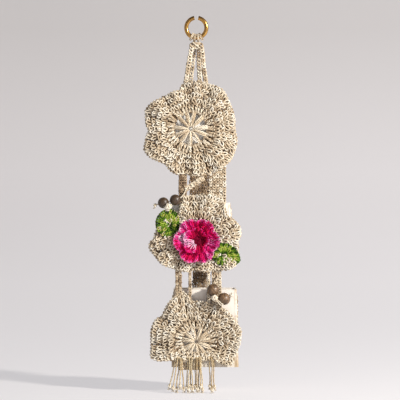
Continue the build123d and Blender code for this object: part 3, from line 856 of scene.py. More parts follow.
def chainedStrap(node):
    design = necks["straps"][node]
    rng = np.random.default_rng(seedOf(design["piece"]))
    low, high = nodeBox(node)
    high[0] += design["inward"]
    chains, runIn = design["chains"], design["runIn"]
    middle, width = (low[0] + high[0]) / 2, high[0] - low[0]
    place = frontPlace((0, (low[1] + high[1]) / 2 + 0.6, 0))
    batches = []
    for number in range(chains):
        at = middle + (number - (chains - 1) / 2) * width / chains
        ends = (at, high[2] + runIn), (at, low[2] - runIn)
        strands = chainStitches(*ends, necks["pitch"], design["width"], necks["lift"], rng)
        batches.append((layOn(strands, place), design["yarn"]))
    rows = []
    for level in np.arange(low[2] - runIn + 2, high[2] + runIn - 1, 3.1):  # close rows of dark yarn behind, painted shade
        reach = width / 2 - 1.2 + 0.9 * math.sin(level * 0.55)
        line = np.array([[middle - reach, level], [middle + reach, level]])
        rows.append(ropeLine(line, 2 * chains, 0.7, 0.6) - [0, 0, 1.6])
    batches.append((layOn(np.concatenate(rows), place), 1.2, np.full(2 * len(rows), design["backingShade"])))
    return yarnPiece(design["piece"], batches, ecruYarn, toneRange=design["tones"])


def joinNeck(piece, node):
    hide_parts(node)
    bendAcross(piece)


def buildNecks():
    for side in ("left", "right"):
        joinNeck(chainedStrap(f"upper_neck_{side}_strap"), f"upper_neck_{side}_strap")
    joinNeck(diagonalChain(), "upper_neck_diagonal_strap")
    joinNeck(netPiece("upper_neck_net", "upper_neck_back_mesh", 10.0), "upper_neck_back_mesh")
    for place in ("left", "inner", "column", "right"):
        joinNeck(chainedStrap(f"lower_neck_{place}_strap"), f"lower_neck_{place}_strap")
    joinNeck(netPiece("lower_neck_net", "lower_neck_back_mesh", 2.0), "lower_neck_back_mesh")
    print("necks made")


def netPiece(name, node, leftward):
    # two layers of loose loops, with a few holes right through; their dark tones are painted shade
    rng = np.random.default_rng(seedOf(name))
    low, high = nodeBox(node)
    left, right, pitch = low[0] - leftward, high[0], necks["netPitch"]
    batches = []
    for layer, level in ((0, 0.8), (1, -1.6)):
        columns, rows = round((right - left) / pitch), round((high[2] - low[2] + 8) / pitch)
        across, up = np.meshgrid(
            left + (np.arange(columns) + 0.5 + 0.3 * layer) * (right - left) / columns,
            low[2] - 4 + (np.arange(rows) + 0.4 * layer) * pitch,
        )
        foot = scatter(np.column_stack([across.ravel(), up.ravel()]), 0.8, rng)
        loops = loopStitches(foot, foot + [0.0, pitch], 2.4, 1.5, rng, wander=0.5, overlap=1.25)
        loops = loops + [0, 0, level]
        batches.append((layOn(loops, frontPlace((0, (low[1] + high[1]) / 2, 0))), 1.35))
    return yarnPiece(name, batches, ecruYarn, toneRange=(0.0, 0.32))


def diagonalChain():
    rng = np.random.default_rng(7)
    points = nodePoints("upper_neck_diagonal_strap")
    right = points[points[:, 0] > points[:, 0].max() - 4].mean(axis=0)
    left = points[points[:, 0] < points[:, 0].min() + 4].mean(axis=0)
    along = (left - right)[[0, 2]] / np.linalg.norm((left - right)[[0, 2]])
    side = np.array([-along[1], along[0]])
    start, end = right[[0, 2]] - along * 3, left[[0, 2]] + along * 5
    place = frontPlace((0, right[1] + 0.5, 0))
    batches = []
    for shift in (-necks["diagonalSpread"], necks["diagonalSpread"]):
        strand = chainStitches(start + side * shift, end + side * shift, 6.5, 1.9, 2.2, rng, 0.1)
        batches.append((layOn(strand, place), 1.5))
    return yarnPiece("upper_neck_diagonal_chain", batches, ecruYarn, toneRange=(0.35, 0.85))


# ---- head: the loops on the ring, the wrapping and the four chains

hanger = {"loopYarn": 1.15, "wrapYarn": 1.3, "chainYarn": 1.75, "chainSpread": 3.3, "crossing": 6.8,
          "runUp": 5.5}


def buildHead():
    for label in ("outer_left", "inner_left", "inner_right", "outer_right"):
        node = f"ring_loop_{label}"
        low, high = nodeBox(node)
        centre = (low + high) / 2
        outward = centre / np.linalg.norm(centre)
        sideways = np.array([-outward[2], 0.0, outward[0]])
        depth = np.array([0.0, 1.0, 0.0])
        reach = (high[1] - low[1]) / 2 - hanger["loopYarn"] * 0.9
        angle = np.linspace(0, 2 * math.pi, 25)
        turns = []
        for shift in (-1, 1):
            lean = sideways * shift * hanger["loopYarn"] * 0.95
            ring = np.cos(angle)[:, None] * outward + np.sin(angle)[:, None] * depth
            turns.append(centre + lean + ring * reach + (np.sin(angle * 2) * 0.25)[:, None] * sideways)
        piece = yarnPiece(f"loop_{label}", [(np.stack(turns), hanger["loopYarn"])], ecruYarn, body="loops",
                          sides=8)
        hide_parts(node)
    buildWrap()
    for label in ("front_left", "front_right", "back_left", "back_right"):
        buildChain(label)
    print("head made")


def buildWrap():
    low, high = nodeBox("head_wrap")
    centre, half = (low + high) / 2, (high - low) / 2
    yarn = hanger["wrapYarn"]
    turns = int((high[2] - low[2]) / (yarn * 1.75))
    angle = np.linspace(0, 2 * math.pi, 33)
    squareness = 0.75
    along = np.sign(np.cos(angle)) * np.abs(np.cos(angle)) ** squareness * (half[0] - yarn)
    depth = np.sign(np.sin(angle)) * np.abs(np.sin(angle)) ** squareness * (half[1] - yarn)
    strands = []
    for turn in range(turns):
        level = low[2] + yarn + turn * (high[2] - low[2] - 2 * yarn) / (turns - 1)
        waist = 1 - 0.10 * math.sin(math.pi * turn / (turns - 1))
        strands.append(np.column_stack([
            centre[0] + along * waist, centre[1] + depth * waist, level + np.sin(angle + turn) * 0.7,
        ]))
    crossing = []
    share = np.linspace(-1, 1, 9)
    for front in (-1, 1):
        for lean in (-1, 1):
            crossing.append(np.column_stack([
                centre[0] + lean * share * half[0] * 0.8,
                centre[1] + front * (half[1] + 0.4 + 0.5 * lean * front) * (1 - 0.18 * share ** 2),
                centre[2] + share * half[2] * 0.9,
            ]))
    piece = yarnPiece("head_wrapping", [(np.stack(strands), yarn), (np.stack(crossing), yarn)], ecruYarn,
                      body="upper_tier", sides=8)
    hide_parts("head_wrap")


def buildChain(label):
    node = f"hanger_chain_{label}"
    top, bottom = runEnds(node)
    run = bottom - top
    length = np.linalg.norm(run)
    along = run / length
    across = np.cross(along, [0.0, 1.0, 0.0])
    across /= np.linalg.norm(across)
    outward = np.cross(across, along)
    rng = np.random.default_rng(seedOf(node))
    batches = []
    for facing in (1, -1):  # the chain shows its loops on both faces
        strands = chainStitches((0.0, -hanger["runUp"]), (0.0, length + 6), hanger["crossing"],
                                hanger["chainSpread"], 2.6, rng)
        placed = top + strands[..., :1] * across + strands[..., 1:2] * along \
            + strands[..., 2:] * outward * facing
        batches.append((placed, hanger["chainYarn"]))
    piece = yarnPiece(f"chain_{label}", batches, ecruYarn, body="upper_tier")
    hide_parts(node)


# ---- flower and leaves

flower = {
    "outer": {"petals": 6, "turn": 0.52, "rounds": (0.30, 0.52, 0.76, 1.0), "yarn": 1.0, "column": 3.6,
              "ruffle": 3.6, "waist": 0.80, "tone": 0.45, "rimTone": 0.92, "lean": 0.0},
    "inner": {"petals": 5, "turn": 0.2, "rounds": (0.24, 0.62, 1.0), "yarn": 0.95, "column": 3.4,
              "ruffle": 3.0, "waist": 0.72, "tone": 0.36, "rimTone": 0.7, "lean": 0.20},
    # paler and darker places, the darkest near the hollow painted shade: across, up, reach, change of tone
    "patches": [
        (-27, 5, 12, 0.8), (-18, -6, 8, 0.55), (-8, -18, 7, 0.3), (-26, 26, 14, 0.3), (33, -4, 14, 0.3),
        (22, -28, 12, 0.3), (9, -1, 11, -0.45), (8, 14, 14, -0.2), (-12, -36, 12, -0.02), (-44, -2, 9, -0.15),
    ],
    "eye": 4.0, "fullness": 1.05, "gather": 1.25,
}


def petalTone(across, up, base):
    tone = np.full(np.shape(across), base, float)
    for x, z, reach, change in flower["patches"]:
        tone += change * np.exp(-((across - x) ** 2 + (up - z) ** 2) / (2 * (reach * 0.6) ** 2))
    return tone


def buildPetals(label, node):
    design = flower[label]
    rng = np.random.default_rng(seedOf(node))
    low, high = nodeBox(node)
    centre = np.array([(low[0] + high[0]) / 2, high[1], (low[2] + high[2]) / 2])
    reach = (high[0] - low[0]) / 2 * flower["fullness"]
    cup = (high[1] - low[1]) * 0.78
    theta = np.linspace(-math.pi, math.pi, 720, endpoint=False)
    lobe = np.abs(np.cos(design["petals"] / 2 * (theta - design["turn"]))) ** 0.55
    rim = reach * (design["waist"] + (1 - design["waist"]) * lobe)
    rim *= 1 - design["lean"] * (0.5 + 0.5 * np.sin(theta + 0.4))  # the inner ring opens to one side

    def place(across, up, height):
        radius, angle = np.hypot(across, up), np.arctan2(across, up)
        share = radius / reach
        wave = np.sin(design["petals"] * 3 * angle + 0.7) * design["ruffle"] * share ** 3
        fold = np.cos(design["petals"] * (angle - design["turn"])) * 1.8 * share ** 2
        bowl = cup * np.minimum(share, 1.1) ** 1.6
        return np.stack([centre[0] + across, centre[1] - 1.2 - bowl - wave - fold - height, centre[2] + up],
                        axis=-1)

    onCurve = curveOver(theta)
    batches = []
    for start, end in zip(design["rounds"], design["rounds"][1:]):
        footCurve, headCurve = rim * start, rim * end
        count = round(evenAngles(theta, (footCurve + headCurve) / 2, 10, 0)[1] / design["column"])
        angle, _ = evenAngles(theta, (footCurve + headCurve) / 2, count, rng.uniform())
        foot = scatter(pointsAt(angle, onCurve(footCurve, angle)), 0.25, rng)
        headPoint = scatter(pointsAt(angle, onCurve(headCurve, angle)), 0.35, rng)
        last = end == 1.0
        legs = crossedLegs(foot, headPoint, 0.95, 1.0)
        wraps = slantWraps(foot, headPoint, 0.95, 1.0, 0.55)
        for strands, size in ((legs, 1.0), (wraps, 0.75)):
            tone = petalTone(strands[..., 0], strands[..., 1], design["tone"])
            tone = tone + rng.normal(0, 0.09, (len(strands), 1))
            if last:  # pale yarn works in towards the rim on every other stitch
                inwards = np.linspace(0, 1, strands.shape[1])[None] ** 1.5
                pale = (np.arange(len(strands)) % 2)[:, None] * inwards
                tone = tone * (1 - 0.7 * pale) + design["rimTone"] * 0.7 * pale
            batches.append((layOn(strands, place), design["yarn"] * size, np.clip(tone, 0.0, 1)))
        if last:
            forward = pointsAt(angle, np.ones(count))
            strands = headLoops(headPoint, forward, 1.6, 0.8)
            tone = petalTone(strands[..., 0], strands[..., 1], design["rimTone"] - 0.12)
            tone = tone + rng.normal(0, 0.12, (len(strands), 1))
            batches.append((layOn(strands, place), design["yarn"] * 0.8, np.clip(tone, 0.0, 1)))
    angle = np.linspace(-math.pi, math.pi, 108, endpoint=False)
    # painted shade: the dark web under the petals
    grid = webGrid(angle, [onCurve(rim, angle) * share for share in np.linspace(0.12, 0.97, 9)], -0.9, place)
    web = openSheet(f"flower_{label}_web", grid, True, 0.06, pinkPaintedShade,
                    body="middle_tier")
    stitches = yarnPiece(f"flower_{label}_stitches", batches, pinkYarn,
                         body="middle_tier", sides=5)
    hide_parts(node)
    print(f"{label} petals made")


def buildFlowerCentre():
    low, high = nodeBox("flower_centre")
    centre, reach = (low + high) / 2, (high[0] - low[0]) / 2
    turns = np.linspace(0, 2 * math.pi * 3, 70)
    radius = 1.0 + (reach - 1.6) * turns / turns[-1]
    flat = pointsAt(turns, radius) + [flower["eye"] * 0.5, 0.0]
    height = 0.6 + 0.7 * np.sin(turns * 4.3)
    coil = np.column_stack([flat, height])
    place = frontPlace((centre[0], centre[1] + 1.0, centre[2]))
    spokes = []
    share = np.linspace(0, 1, 6)
    for angle in np.linspace(3.3, 4.9, 7):  # pale strands that run from the eye up one side of the cup
        reach = 13.0 + 2.5 * math.sin(angle * 5)
        radius = 5.5 + reach * share
        flat = np.column_stack([np.sin(angle) * radius, np.cos(angle) * radius])
        spokes.append(np.column_stack([flat, 1.0 + 6.5 * share ** 1.4]))
    # painted shade: the heart is made in the dark pink copy, for the hollow
    piece = yarnPiece("flower_heart", [(layOn(coil[None], place), 1.5, [0.3])], pinkPaintedShade,
                      body="middle_tier")
    yarnPiece("flower_spokes", [(layOn(np.stack(spokes), place), 0.8, np.full(7, 1.0))], pinkYarn,
              body="middle_tier")
    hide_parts("flower_centre")


leaves = {
    "left_leaf": {"eye": (0.60, 0.46), "fold": 0.4}, "right_leaf": {"eye": (0.46, 0.52), "fold": 1.9},
    "column": 4.6, "yarn": 1.25, "rounds": (0.03, 0.36, 0.68, 1.02), "rise": 4.5,
    "webShares": (0.02, 0.15, 0.3, 0.45, 0.6, 0.75, 0.93),
    "patches": [(0.35, 0.28), (2.1, -0.22), (3.6, 0.2), (5.0, -0.15)],
}


def buildLeaf(node):
    design = leaves[node]
    rng = np.random.default_rng(seedOf(node))
    low, high = nodeBox(node)
    eye, theta, rim = nodeRim(node, design, 360)
    onRim = lambda angle: np.interp(angle, theta, rim, period=2 * math.pi)

    def fold(across, up):
        angle = np.arctan2(across, up)
        share = np.hypot(across, up) / onRim(angle)
        dome = np.sin(math.pi * np.clip(share, 0, 1) * 0.8)
        return leaves["rise"] * dome * (0.75 + 0.25 * np.cos(3 * angle + design["fold"]))

    def toneAt(strands):
        angle = np.arctan2(strands[..., 0], strands[..., 1])
        share = np.hypot(strands[..., 0], strands[..., 1]) / onRim(angle)
        # darker towards the rim and by side; the dark strands round the eye are painted shade
        tone = 0.56 - 0.42 * np.clip((share - 0.72) / 0.28, 0, 1) - 0.62 * np.exp(-(share / 0.26) ** 2)
        for turn, change in leaves["patches"]:
            tone += change * np.exp(3.0 * (np.cos(angle - turn - design["fold"]) - 1))
        return np.clip(tone + rng.normal(0, 0.25, (len(strands), 1)), 0, 1)

    place = frontPlace((eye[0], (low[1] + high[1]) / 2 + 0.8, eye[1]), fold)
    batches = []
    around = np.append(theta, theta[0] + 2 * math.pi)
    for start, end in zip(leaves["rounds"], leaves["rounds"][1:]):
        count = round(evenAngles(theta, rim * (start + end) / 2, 10, 0)[1] / leaves["column"])
        angle, _ = evenAngles(theta, rim * (start + end) / 2, count, rng.uniform())
        foot = scatter(pointsAt(angle, onRim(angle) * start), 0.3, rng)
        headPoint = scatter(pointsAt(angle, onRim(angle) * end), 0.3, rng)
        for strands, size in (
            (loopStitches(foot, headPoint, 1.9, 2.4, rng), 1.0),
            (ropeLine(pointsAt(around, np.append(rim, rim[0]) * end), count, 1.0, 0.9), 0.85),
        ):
            batches.append((layOn(strands, place), leaves["yarn"] * size, toneAt(strands)))
    stitches = yarnPiece(f"{node}_stitches", batches, greenYarn, body="middle_tier")
    webAngles = np.linspace(-math.pi, math.pi, 60, endpoint=False)
    # painted shade: the dark web under the leaf
    grid = webGrid(webAngles, [onRim(webAngles) * share for share in leaves["webShares"]], -1.0, place)
    web = openSheet(f"{node}_web", grid, True, 0.06, greenPaintedShade, body="middle_tier")
    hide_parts(node)
    size = (high - low) * millimetre


# ---- cords: the two ties and the strands of the fringe

ties = {
    "left": {
        "body": "left_tie", "tassel": (-56.0, -77.5, -360.5), "tasselSize": 17.0,
        "ends": 5, "endLength": 8.0, "endLean": (-1.0, 0.0),
        "points": [(-20, -54.2, -325), (-26, -62, -344), (-53.5, -67, -350), (-82, -67, -357.5)],
    },
    "right": {
        "body": "right_tie", "tassel": (36.0, -79.0, -541.0), "tasselSize": 15.0,
        "ends": 2, "endLength": 15.0, "endLean": (15.0, 0.0),
        "points": [
            (43, -54.2, -498), (37.5, -63.5, -514), (29.5, -70, -538.5), (38.5, -70.5, -554),
            (69.5, -68.5, -535),
        ],
    },
    "diameter": 2.6,
}
fringe = {
    "far_left": {"x": -33.6, "strands": 5, "shift": -6.0, "spread": 2.4},
    "left": {"x": -12.6, "strands": 4, "shift": -1.0, "spread": 1.3},
    "middle": {"x": 4.4, "strands": 5, "shift": 0.5, "spread": 1.2},
    "right": {"x": 30.4, "strands": 3, "shift": 0.8, "spread": 1.5},
    "diameter": 2.6, "pitch": 2.9, "top": -661.0, "length": 60.0, "front": -54.5,
    "sway": 2.4, "lengthChange": 4.0, "layerGap": 0.5, "knot": 7.0,
}


def smoothLine(points):
    # the smooth line that a cord's points control, as a run of points
    curve = bpy.data.curves.new("cordLine", "CURVE")
    curve.dimensions = "3D"
    curve.resolution_u = 10
    spline = curve.splines.new("NURBS")
    spline.points.add(len(points) - 1)
    for point, place in zip(spline.points, points):
        point.co = (*(value * millimetre for value in place), 1.0)
    spline.order_u = 3
    spline.use_endpoint_u = True
    holder = bpy.data.objects.new("cordLine", curve)
    mesh = bpy.data.meshes.new_from_object(holder)
    line = np.array([v.co for v in mesh.vertices], float) / millimetre
    bpy.data.objects.remove(holder)
    bpy.data.curves.remove(curve)
    bpy.data.meshes.remove(mesh)
    return line


def pliedCord(name, points, diameter, body, material):
    line = smoothLine(points)
    length = np.linalg.norm(np.diff(line, axis=0), axis=1).sum()
    count = max(12, int(length / 1.5))
    line = resample(line, count)
    tangent = np.gradient(line, axis=0)
    tangent /= np.linalg.norm(tangent, axis=1, keepdims=True)
    across = np.cross(tangent, [0.3, 0.9, 0.1])
    across /= np.linalg.norm(across, axis=1, keepdims=True)
    other = np.cross(tangent, across)
    phase = np.arange(count) * length / count / 9.0 * 2 * math.pi
    plies = []
    for ply in range(3):
        turn = phase + ply * 2 * math.pi / 3
        winding = np.cos(turn)[:, None] * across + np.sin(turn)[:, None] * other
        plies.append(line + winding * diameter * 0.27)
    piece = yarnPiece(name, [(np.stack(plies), diameter * 0.27)], material, body=body,
                      sides=6,
                      toneRange=(0.35, 1.0))
    [v * millimetre for v in points[0]]
    return piece


def fringeRoute(bundle, number):
    offset = (number - (bundle["strands"] - 1) / 2) * fringe["pitch"]
    top = bundle["x"] + offset
    drift = bundle["shift"] + offset * (bundle["spread"] - 1)
    sway = fringe["sway"] * math.sin(1.7 * number + bundle["x"])
    length = fringe["length"] + fringe["lengthChange"] * math.sin(2.3 * number + bundle["x"])
    y = fringe["front"] - (number % 2) * (fringe["diameter"] + fringe["layerGap"])
    return [
        (top, y, fringe["top"]),
        (top + drift / 4 + sway, y - 0.6, fringe["top"] - length / 3),
        (top + drift * 2 / 3 - sway / 2, y - 0.2, fringe["top"] - length * 2 / 3),
        (top + drift, y - 0.8, fringe["top"] - length),
    ]


def frayedKnot(name, place, size, body, material, rng, tuft=7):
    # an overhand knot with a short brush of fibres under it
    angle = np.linspace(0, 2 * math.pi * 1.15, 16)
    place = np.array(place, float)
    knot = []
    for lean in (0.5, -0.6):
        knot.append(place + np.column_stack([
            np.cos(angle) * size * 0.30, np.sin(angle) * size * 0.30,
            np.sin(angle + lean) * size * 0.26 + lean,
        ]))
    hairs = []
    share = np.linspace(0, 1, 5)
    for _ in range(tuft):
        turn, spread = rng.uniform(0, 2 * math.pi), rng.uniform(0.2, 0.9)
        out = np.column_stack([np.cos(turn) * share, np.sin(turn) * share * 0.7, -share * 1.2]) * size * 0.8
        out[:, :2] *= spread
        hairs.append(place + out + np.array([0, 0, -size * 0.15]))
    return yarnPiece(name, [(np.stack(knot), size * 0.22), (np.stack(hairs), size * 0.075)], material,
                     body=body, toneRange=(0.55, 1.0))


def buildTassel(label, design, rng):
    # a fat soft knot of yarn tied on between the beads, with its ends hanging from it
    centre, size = np.array(design["tassel"], float), design["tasselSize"]
    loops, ends = [], []
    share = np.linspace(0, 1, 14)
    for number in range(9):
        turn, lean = number * 2.4, rng.normal(0, 0.25)
        angle = share * 2 * math.pi
        radius = size * (0.30 + 0.06 * rng.normal())
        flat = np.column_stack([np.cos(angle) * radius, np.sin(angle) * radius * 0.8,
                                np.sin(angle + lean) * radius * 0.55])
        spin = np.array([[math.cos(turn), 0, math.sin(turn)], [0, 1, 0],
                         [-math.sin(turn), 0, math.cos(turn)]])
        loops.append(centre + flat @ spin)
    for number in range(design["ends"]):
        side = number - (design["ends"] - 1) / 2
        drop = share * design["endLength"] * rng.uniform(0.85, 1.1)
        reach = np.array(design["endLean"], float) * (1 + 0.25 * side)
        ends.append(centre + np.column_stack([
            share * reach[0] + side * 1.5, -np.sin(share * math.pi * 0.5) * 1.5, -drop + share * reach[1],
        ]))
    return yarnPiece(f"{label}_tie_tassel", [(np.stack(loops), size * 0.105), (np.stack(ends), 1.1)],
                     ecruYarn,
                     body=design["body"], toneRange=(0.75, 1.0))


def buildTies():
    for label in ("left", "right"):
        design = ties[label]
        node = f"{label}_tie_end_knot"
        low, high = nodeBox(node)
        rng = np.random.default_rng(seedOf(node))
        knot = frayedKnot(f"{label}_tie_knot", (low + high) / 2, high[0] - low[0], design["body"], ecruYarn,
                          rng)
        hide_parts(node)
        tassel = buildTassel(label, design, rng)
        cord = pliedCord(f"{label}_tie", design["points"], ties["diameter"], design["body"],
                         ecruYarn)
        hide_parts(f"{label}_tie_cord")
    print("ties made")


def buildFringe():
    for label in ("far_left", "left", "middle", "right"):
        bundle, body = fringe[label], f"fringe_{label}"
        rng = np.random.default_rng(seedOf(label))
        for number in range(bundle["strands"]):
            route = fringeRoute(bundle, number)
            name = f"fringe_{label}_{number + 1}"
            knot = frayedKnot(f"{name}_knot", route[-1], fringe["knot"], body, tuftYarn, rng, tuft=10)
            strand = pliedCord(name, route, fringe["diameter"], body, fringeYarn)
            if number == 0:
                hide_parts(body)
    print("fringe made")


# ---- ring, beads and pots keep their modelled shapes and get their finishes here

finishes = {
    "brass": {"light": (0.55, 0.31, 0.09), "dull": (0.17, 0.085, 0.025), "roughness": 0.2},
    "wood": {"light": (0.21, 0.125, 0.062), "dark": (0.034, 0.018, 0.010)},
    "pot": {"white": (0.86, 0.85, 0.82), "worn": (0.46, 0.35, 0.22), "cream": (0.74, 0.69, 0.57)},
    # painted shade: darker copies of the pot colours for the lower pot
    "shadedLowerPot": {"white": (0.80, 0.75, 0.69), "worn": (0.42, 0.31, 0.19), "cream": (0.66, 0.60, 0.50)},
    "rubbedWidth": 0.0105,  # metres in from a pot's upright corner
}


def brassMaterial():
    colours = finishes["brass"]
    material, tree, shader = startMaterial("polishedBrass")
    wear = useGroup(tree, patchyWear, {"Scale": 90.0, "Amount": 0.55, "Sharpness": 3.0})
    tree.links.new(mixColour(tree, wear.outputs["Mask"], colours["light"], colours["dull"]),
                   shader.inputs["Base Color"])
    shader.inputs["Metallic"].default_value = 1.0
    rough = mathNode(tree, "ADD", mathNode(tree, "MULTIPLY", wear.outputs["Mask"], 0.25),
                     colours["roughness"])
    tree.links.new(rough, shader.inputs["Roughness"])
    bumpInto(tree, shader, wear.outputs["Fine"], 0.12, 0.0002)
    return material


def woodMaterial(name, stain):
    colours = finishes["wood"]
    material, tree, shader = startMaterial(name)
    where = addNode(tree, "ShaderNodeTexCoord")
    stretch = addNode(tree, "ShaderNodeMapping", {"Scale": (1.0, 1.0, 3.2), "Rotation": (0.5, 0.3, 0.9)})
    grain = addNode(tree, "ShaderNodeTexWave",
                    {"Scale": 90.0, "Distortion": 9.0, "Detail": 3.0, "Detail Scale": 2.0})
    tree.links.new(where.outputs["Object"], stretch.inputs["Vector"])
    tree.links.new(stretch.outputs[0], grain.inputs["Vector"])
    wear = useGroup(tree, patchyWear, {"Scale": 120.0, "Amount": 0.55, "Sharpness": 4.0})
    light = tuple(value * stain for value in colours["light"])
    colour = mixColour(tree, grain.outputs["Fac"], colours["dark"], light)
    tree.links.new(mixColour(tree, wear.outputs["Mask"], colour, colours["dark"]),
                   shader.inputs["Base Color"])
    shader.inputs["Roughness"].default_value = 0.42
    shader.inputs["Coat Weight"].default_value = 0.18
    shader.inputs["Coat Roughness"].default_value = 0.25
    bumpInto(tree, shader, grain.outputs["Fac"], 0.25, 0.0005)
    return material


def potMaterial(node):
    # white, rubbed to tan at the upright corners, streaked upright and creamy towards the base; the lower
    # pot's darker colours are painted shade
    colours = finishes["shadedLowerPot" if node == "lower_pot" else "pot"]
    low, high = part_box(node)
    material, tree, shader = startMaterial(f"{node}_paint")
    where = addNode(tree, "ShaderNodeTexCoord")
    parts = addNode(tree, "ShaderNodeSeparateXYZ")
    tree.links.new(where.outputs["Object"], parts.inputs[0])
    wear = useGroup(tree, patchyWear, {"Scale": 55.0, "Amount": 0.62, "Sharpness": 4.0})
    edges = []
    for axis in (0, 1):
        offset = mathNode(tree, "SUBTRACT", parts.outputs[axis], (low[axis] + high[axis]) / 2)
        edgeStart = (high[axis] - low[axis]) / 2 - finishes["rubbedWidth"]
        past = mathNode(tree, "SUBTRACT", mathNode(tree, "ABSOLUTE", offset), edgeStart)
        edges.append(mathNode(tree, "MULTIPLY", past, 200.0, clamp=True))
    nearEdge = mathNode(tree, "MULTIPLY", *edges)
    corner = mathNode(tree, "MULTIPLY", nearEdge, mathNode(tree, "ADD", wear.outputs["Mask"], 0.25),
                      clamp=True)
    rise = mathNode(tree, "DIVIDE", mathNode(tree, "SUBTRACT", parts.outputs[2], low[2]), high[2] - low[2])
    foot = mathNode(tree, "SUBTRACT", 0.8, mathNode(tree, "MULTIPLY", rise, 1.6), clamp=True)
    runs = addNode(tree, "ShaderNodeMapping", {"Scale": (160.0, 160.0, 7.0)})  # streaks run upright
    tree.links.new(where.outputs["Object"], runs.inputs["Vector"])
    streak = addNode(tree, "ShaderNodeTexNoise", {"Scale": 1.0, "Detail": 4.0, "Roughness": 0.6})
    tree.links.new(runs.outputs[0], streak.inputs["Vector"])
    drips = mathNode(tree, "MULTIPLY", mathNode(tree, "SUBTRACT", streak.outputs["Fac"], 0.53), 3.2,
                     clamp=True)
    base = mixColour(tree, foot, colours["white"], colours["cream"])
    base = mixColour(tree, drips, base, colours["worn"])
    tree.links.new(mixColour(tree, corner, base, colours["worn"]), shader.inputs["Base Color"])
    shader.inputs["Roughness"].default_value = 0.48
    bumpInto(tree, shader, wear.outputs["Fine"], 0.15, 0.0003)
    return material


def finishNode(node, material):
    mesh = nodes[node].data
    mesh.materials.clear()
    mesh.materials.append(material)
    mesh.shade_smooth()
    mesh.set_sharp_from_angle(angle=math.radians(35))


def finishHardPieces():
    finishNode("hanging_ring", brassMaterial())
    dark, brown = woodMaterial("darkWood", 0.38), woodMaterial("brownWood", 1.3)
    for node in ("left_bead_inner", "left_bead_outer"):
        finishNode(node, dark)
    for node in ("right_bead_inner", "right_bead_outer"):
        finishNode(node, brown)
    for node in ("upper_pot", "middle_pot", "lower_pot"):
        finishNode(node, potMaterial(node))
    print("ring, beads and pots finished")


# ---- studio: backdrop, lights and camera

studio = {
    # the paper is a wide bowl round the planter: distance out, height, and the share of its glow, which is
    # painted light
    "paper": [(0.3, -0.732, 0.0), (1.0, -0.732, 0.08), (1.8, -0.725, 0.16), (2.8, -0.69, 0.25),
              (3.8, -0.62, 0.34), (4.6, -0.53, 0.42), (5.2, -0.42, 0.5), (5.6, -0.2, 0.6), (5.8, 0.1, 0.75),
              (5.9, 0.5, 0.95), (5.9, 6.0, 1.0)],
    "backdrop": (0.34, 0.33, 0.33),
    # painted light: the glow's colour, bright low down and darker up high
    "glow": [(0.0, (0.555, 0.545, 0.565)), (0.3, (0.61, 0.59, 0.60)), (0.6, (0.575, 0.55, 0.555)),
             (1.0, (0.405, 0.385, 0.38))],
    # painted light: the glow grows to the right and fades in front
    "strength": 0.88, "frontStrength": 0.38, "rightwardGain": 0.1, "steps": 48,
    "key": {"place": (2.5, -2.0, 0.95), "aim": (0.0, 0.0, -0.35), "size": 0.34, "power": 176.0,
            "colour": (1.0, 0.96, 0.90)},
    "window": {"place": (1.7, -2.4, 0.45), "aim": (0.0, 0.0, -0.4), "size": 2.6, "power": 8.0,
               "colour": (1.0, 0.97, 0.93)},
    "fill": {"place": (-1.8, -2.8, 0.6), "aim": (0.0, 0.0, -0.4), "size": 2.2, "power": 3.0,
             "colour": (0.93, 0.96, 1.0)},
    "world": 0.10,
    "camera": {"x": 0.0074, "z": -0.3475, "distance": 3.984, "lens": 180.0},
}


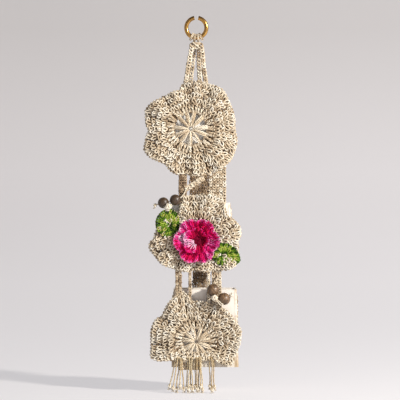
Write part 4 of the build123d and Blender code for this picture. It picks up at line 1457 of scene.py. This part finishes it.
def buildStage():
    paper = studio["paper"]
    turns = np.arange(studio["steps"]) * 2 * math.pi / studio["steps"]
    vertices, glows, strengths = [], [], []
    for reach, height, share in paper:
        for turn in turns:
            x, y = reach * math.sin(turn), reach * math.cos(turn)
            # painted light: the paper glows less in front and more to the right
            inFront = (0.5 - 0.5 * math.cos(turn)) * min(1, max(0, (reach - 2.8) / 2.4))
            vertices.append((x, y, height))
            glows.append(share)
            gain = 1 + studio["rightwardGain"] * max(-1.2, min(1.2, x))
            strengths.append(studio["strength"] * gain * (1 - (1 - studio["frontStrength"]) * inFront))
    count = len(turns)
    faces = [tuple(range(count - 1, -1, -1))]  # the middle of the bowl, facing up
    for row in range(len(paper) - 1):
        for place in range(count):
            here, there = row * count + place, row * count + (place + 1) % count
            faces.append((here, there, there + count, here + count))
    mesh = bpy.data.meshes.new("backdrop")
    mesh.from_pydata(vertices, [], faces)
    mesh.attributes.new("glow", "FLOAT", "POINT").data.foreach_set("value", glows)
    mesh.attributes.new("strength", "FLOAT", "POINT").data.foreach_set("value", strengths)
    mesh.shade_smooth()
    material, tree, shader = startMaterial("backdropPaper")
    shader.inputs["Base Color"].default_value = (*studio["backdrop"], 1.0)
    shader.inputs["Roughness"].default_value = 0.9
    glow = addNode(tree, "ShaderNodeAttribute", attribute_name="glow")
    strength = addNode(tree, "ShaderNodeAttribute", attribute_name="strength")
    lit = colourRamp(tree, glow.outputs["Fac"], studio["glow"])
    tree.links.new(mixColour(tree, strength.outputs["Fac"], (0.0, 0.0, 0.0), lit),
                   shader.inputs["Emission Color"])
    shader.inputs["Emission Strength"].default_value = 1.0
    mesh.materials.append(material)
    backdrop = bpy.data.objects.new("backdrop", mesh)
    bpy.context.scene.collection.objects.link(backdrop)
    for name in ("key", "window", "fill"):
        design = studio[name]
        light = bpy.data.lights.new(name, "AREA")
        light.shape = "DISK"
        light.size = design["size"]
        light.energy = design["power"]
        light.color = design["colour"]
        lamp = bpy.data.objects.new(name, light)
        lamp.location = design["place"]
        direction = Vector(design["aim"]) - Vector(design["place"])
        lamp.rotation_euler = direction.to_track_quat("-Z", "Y").to_euler()
        bpy.context.scene.collection.objects.link(lamp)
    world = bpy.data.worlds.new("studioAir")
    world.use_nodes = True
    background = world.node_tree.nodes["Background"]
    background.inputs["Color"].default_value = (0.95, 0.97, 1.0, 1.0)
    background.inputs["Strength"].default_value = studio["world"]
    bpy.context.scene.world = world
    bpy.context.scene.view_settings.view_transform = "Standard"
    print("studio made")


def buildCamera():
    design = studio["camera"]
    low, _ = nodeBox("upper_front_lace")
    camera = bpy.data.cameras.new("camera")
    camera.lens = design["lens"]
    camera.sensor_width = 36.0
    holder = bpy.data.objects.new("camera", camera)
    holder.location = (design["x"], low[1] * millimetre - design["distance"], design["z"])
    holder.rotation_euler = (math.pi / 2, 0.0, 0.0)
    bpy.context.scene.collection.objects.link(holder)
    bpy.context.scene.camera = holder


buildCamera()
buildTies()
buildFringe()
buildHead()
for tierName in ("upper", "middle", "lower"):
    tierBody = laces[tierName]["body"]
    buildLace(tierName)
    buildBack(tierName, tierBody)
    buildBands(tierName, tierBody)
    buildSling(tierName, tierBody)
buildNecks()
buildPetals("outer", "flower_outer_petals")
buildPetals("inner", "flower_inner_petals")
buildFlowerCentre()
for leafNode in ("left_leaf", "right_leaf"):
    buildLeaf(leafNode)
finishHardPieces()
buildStage()
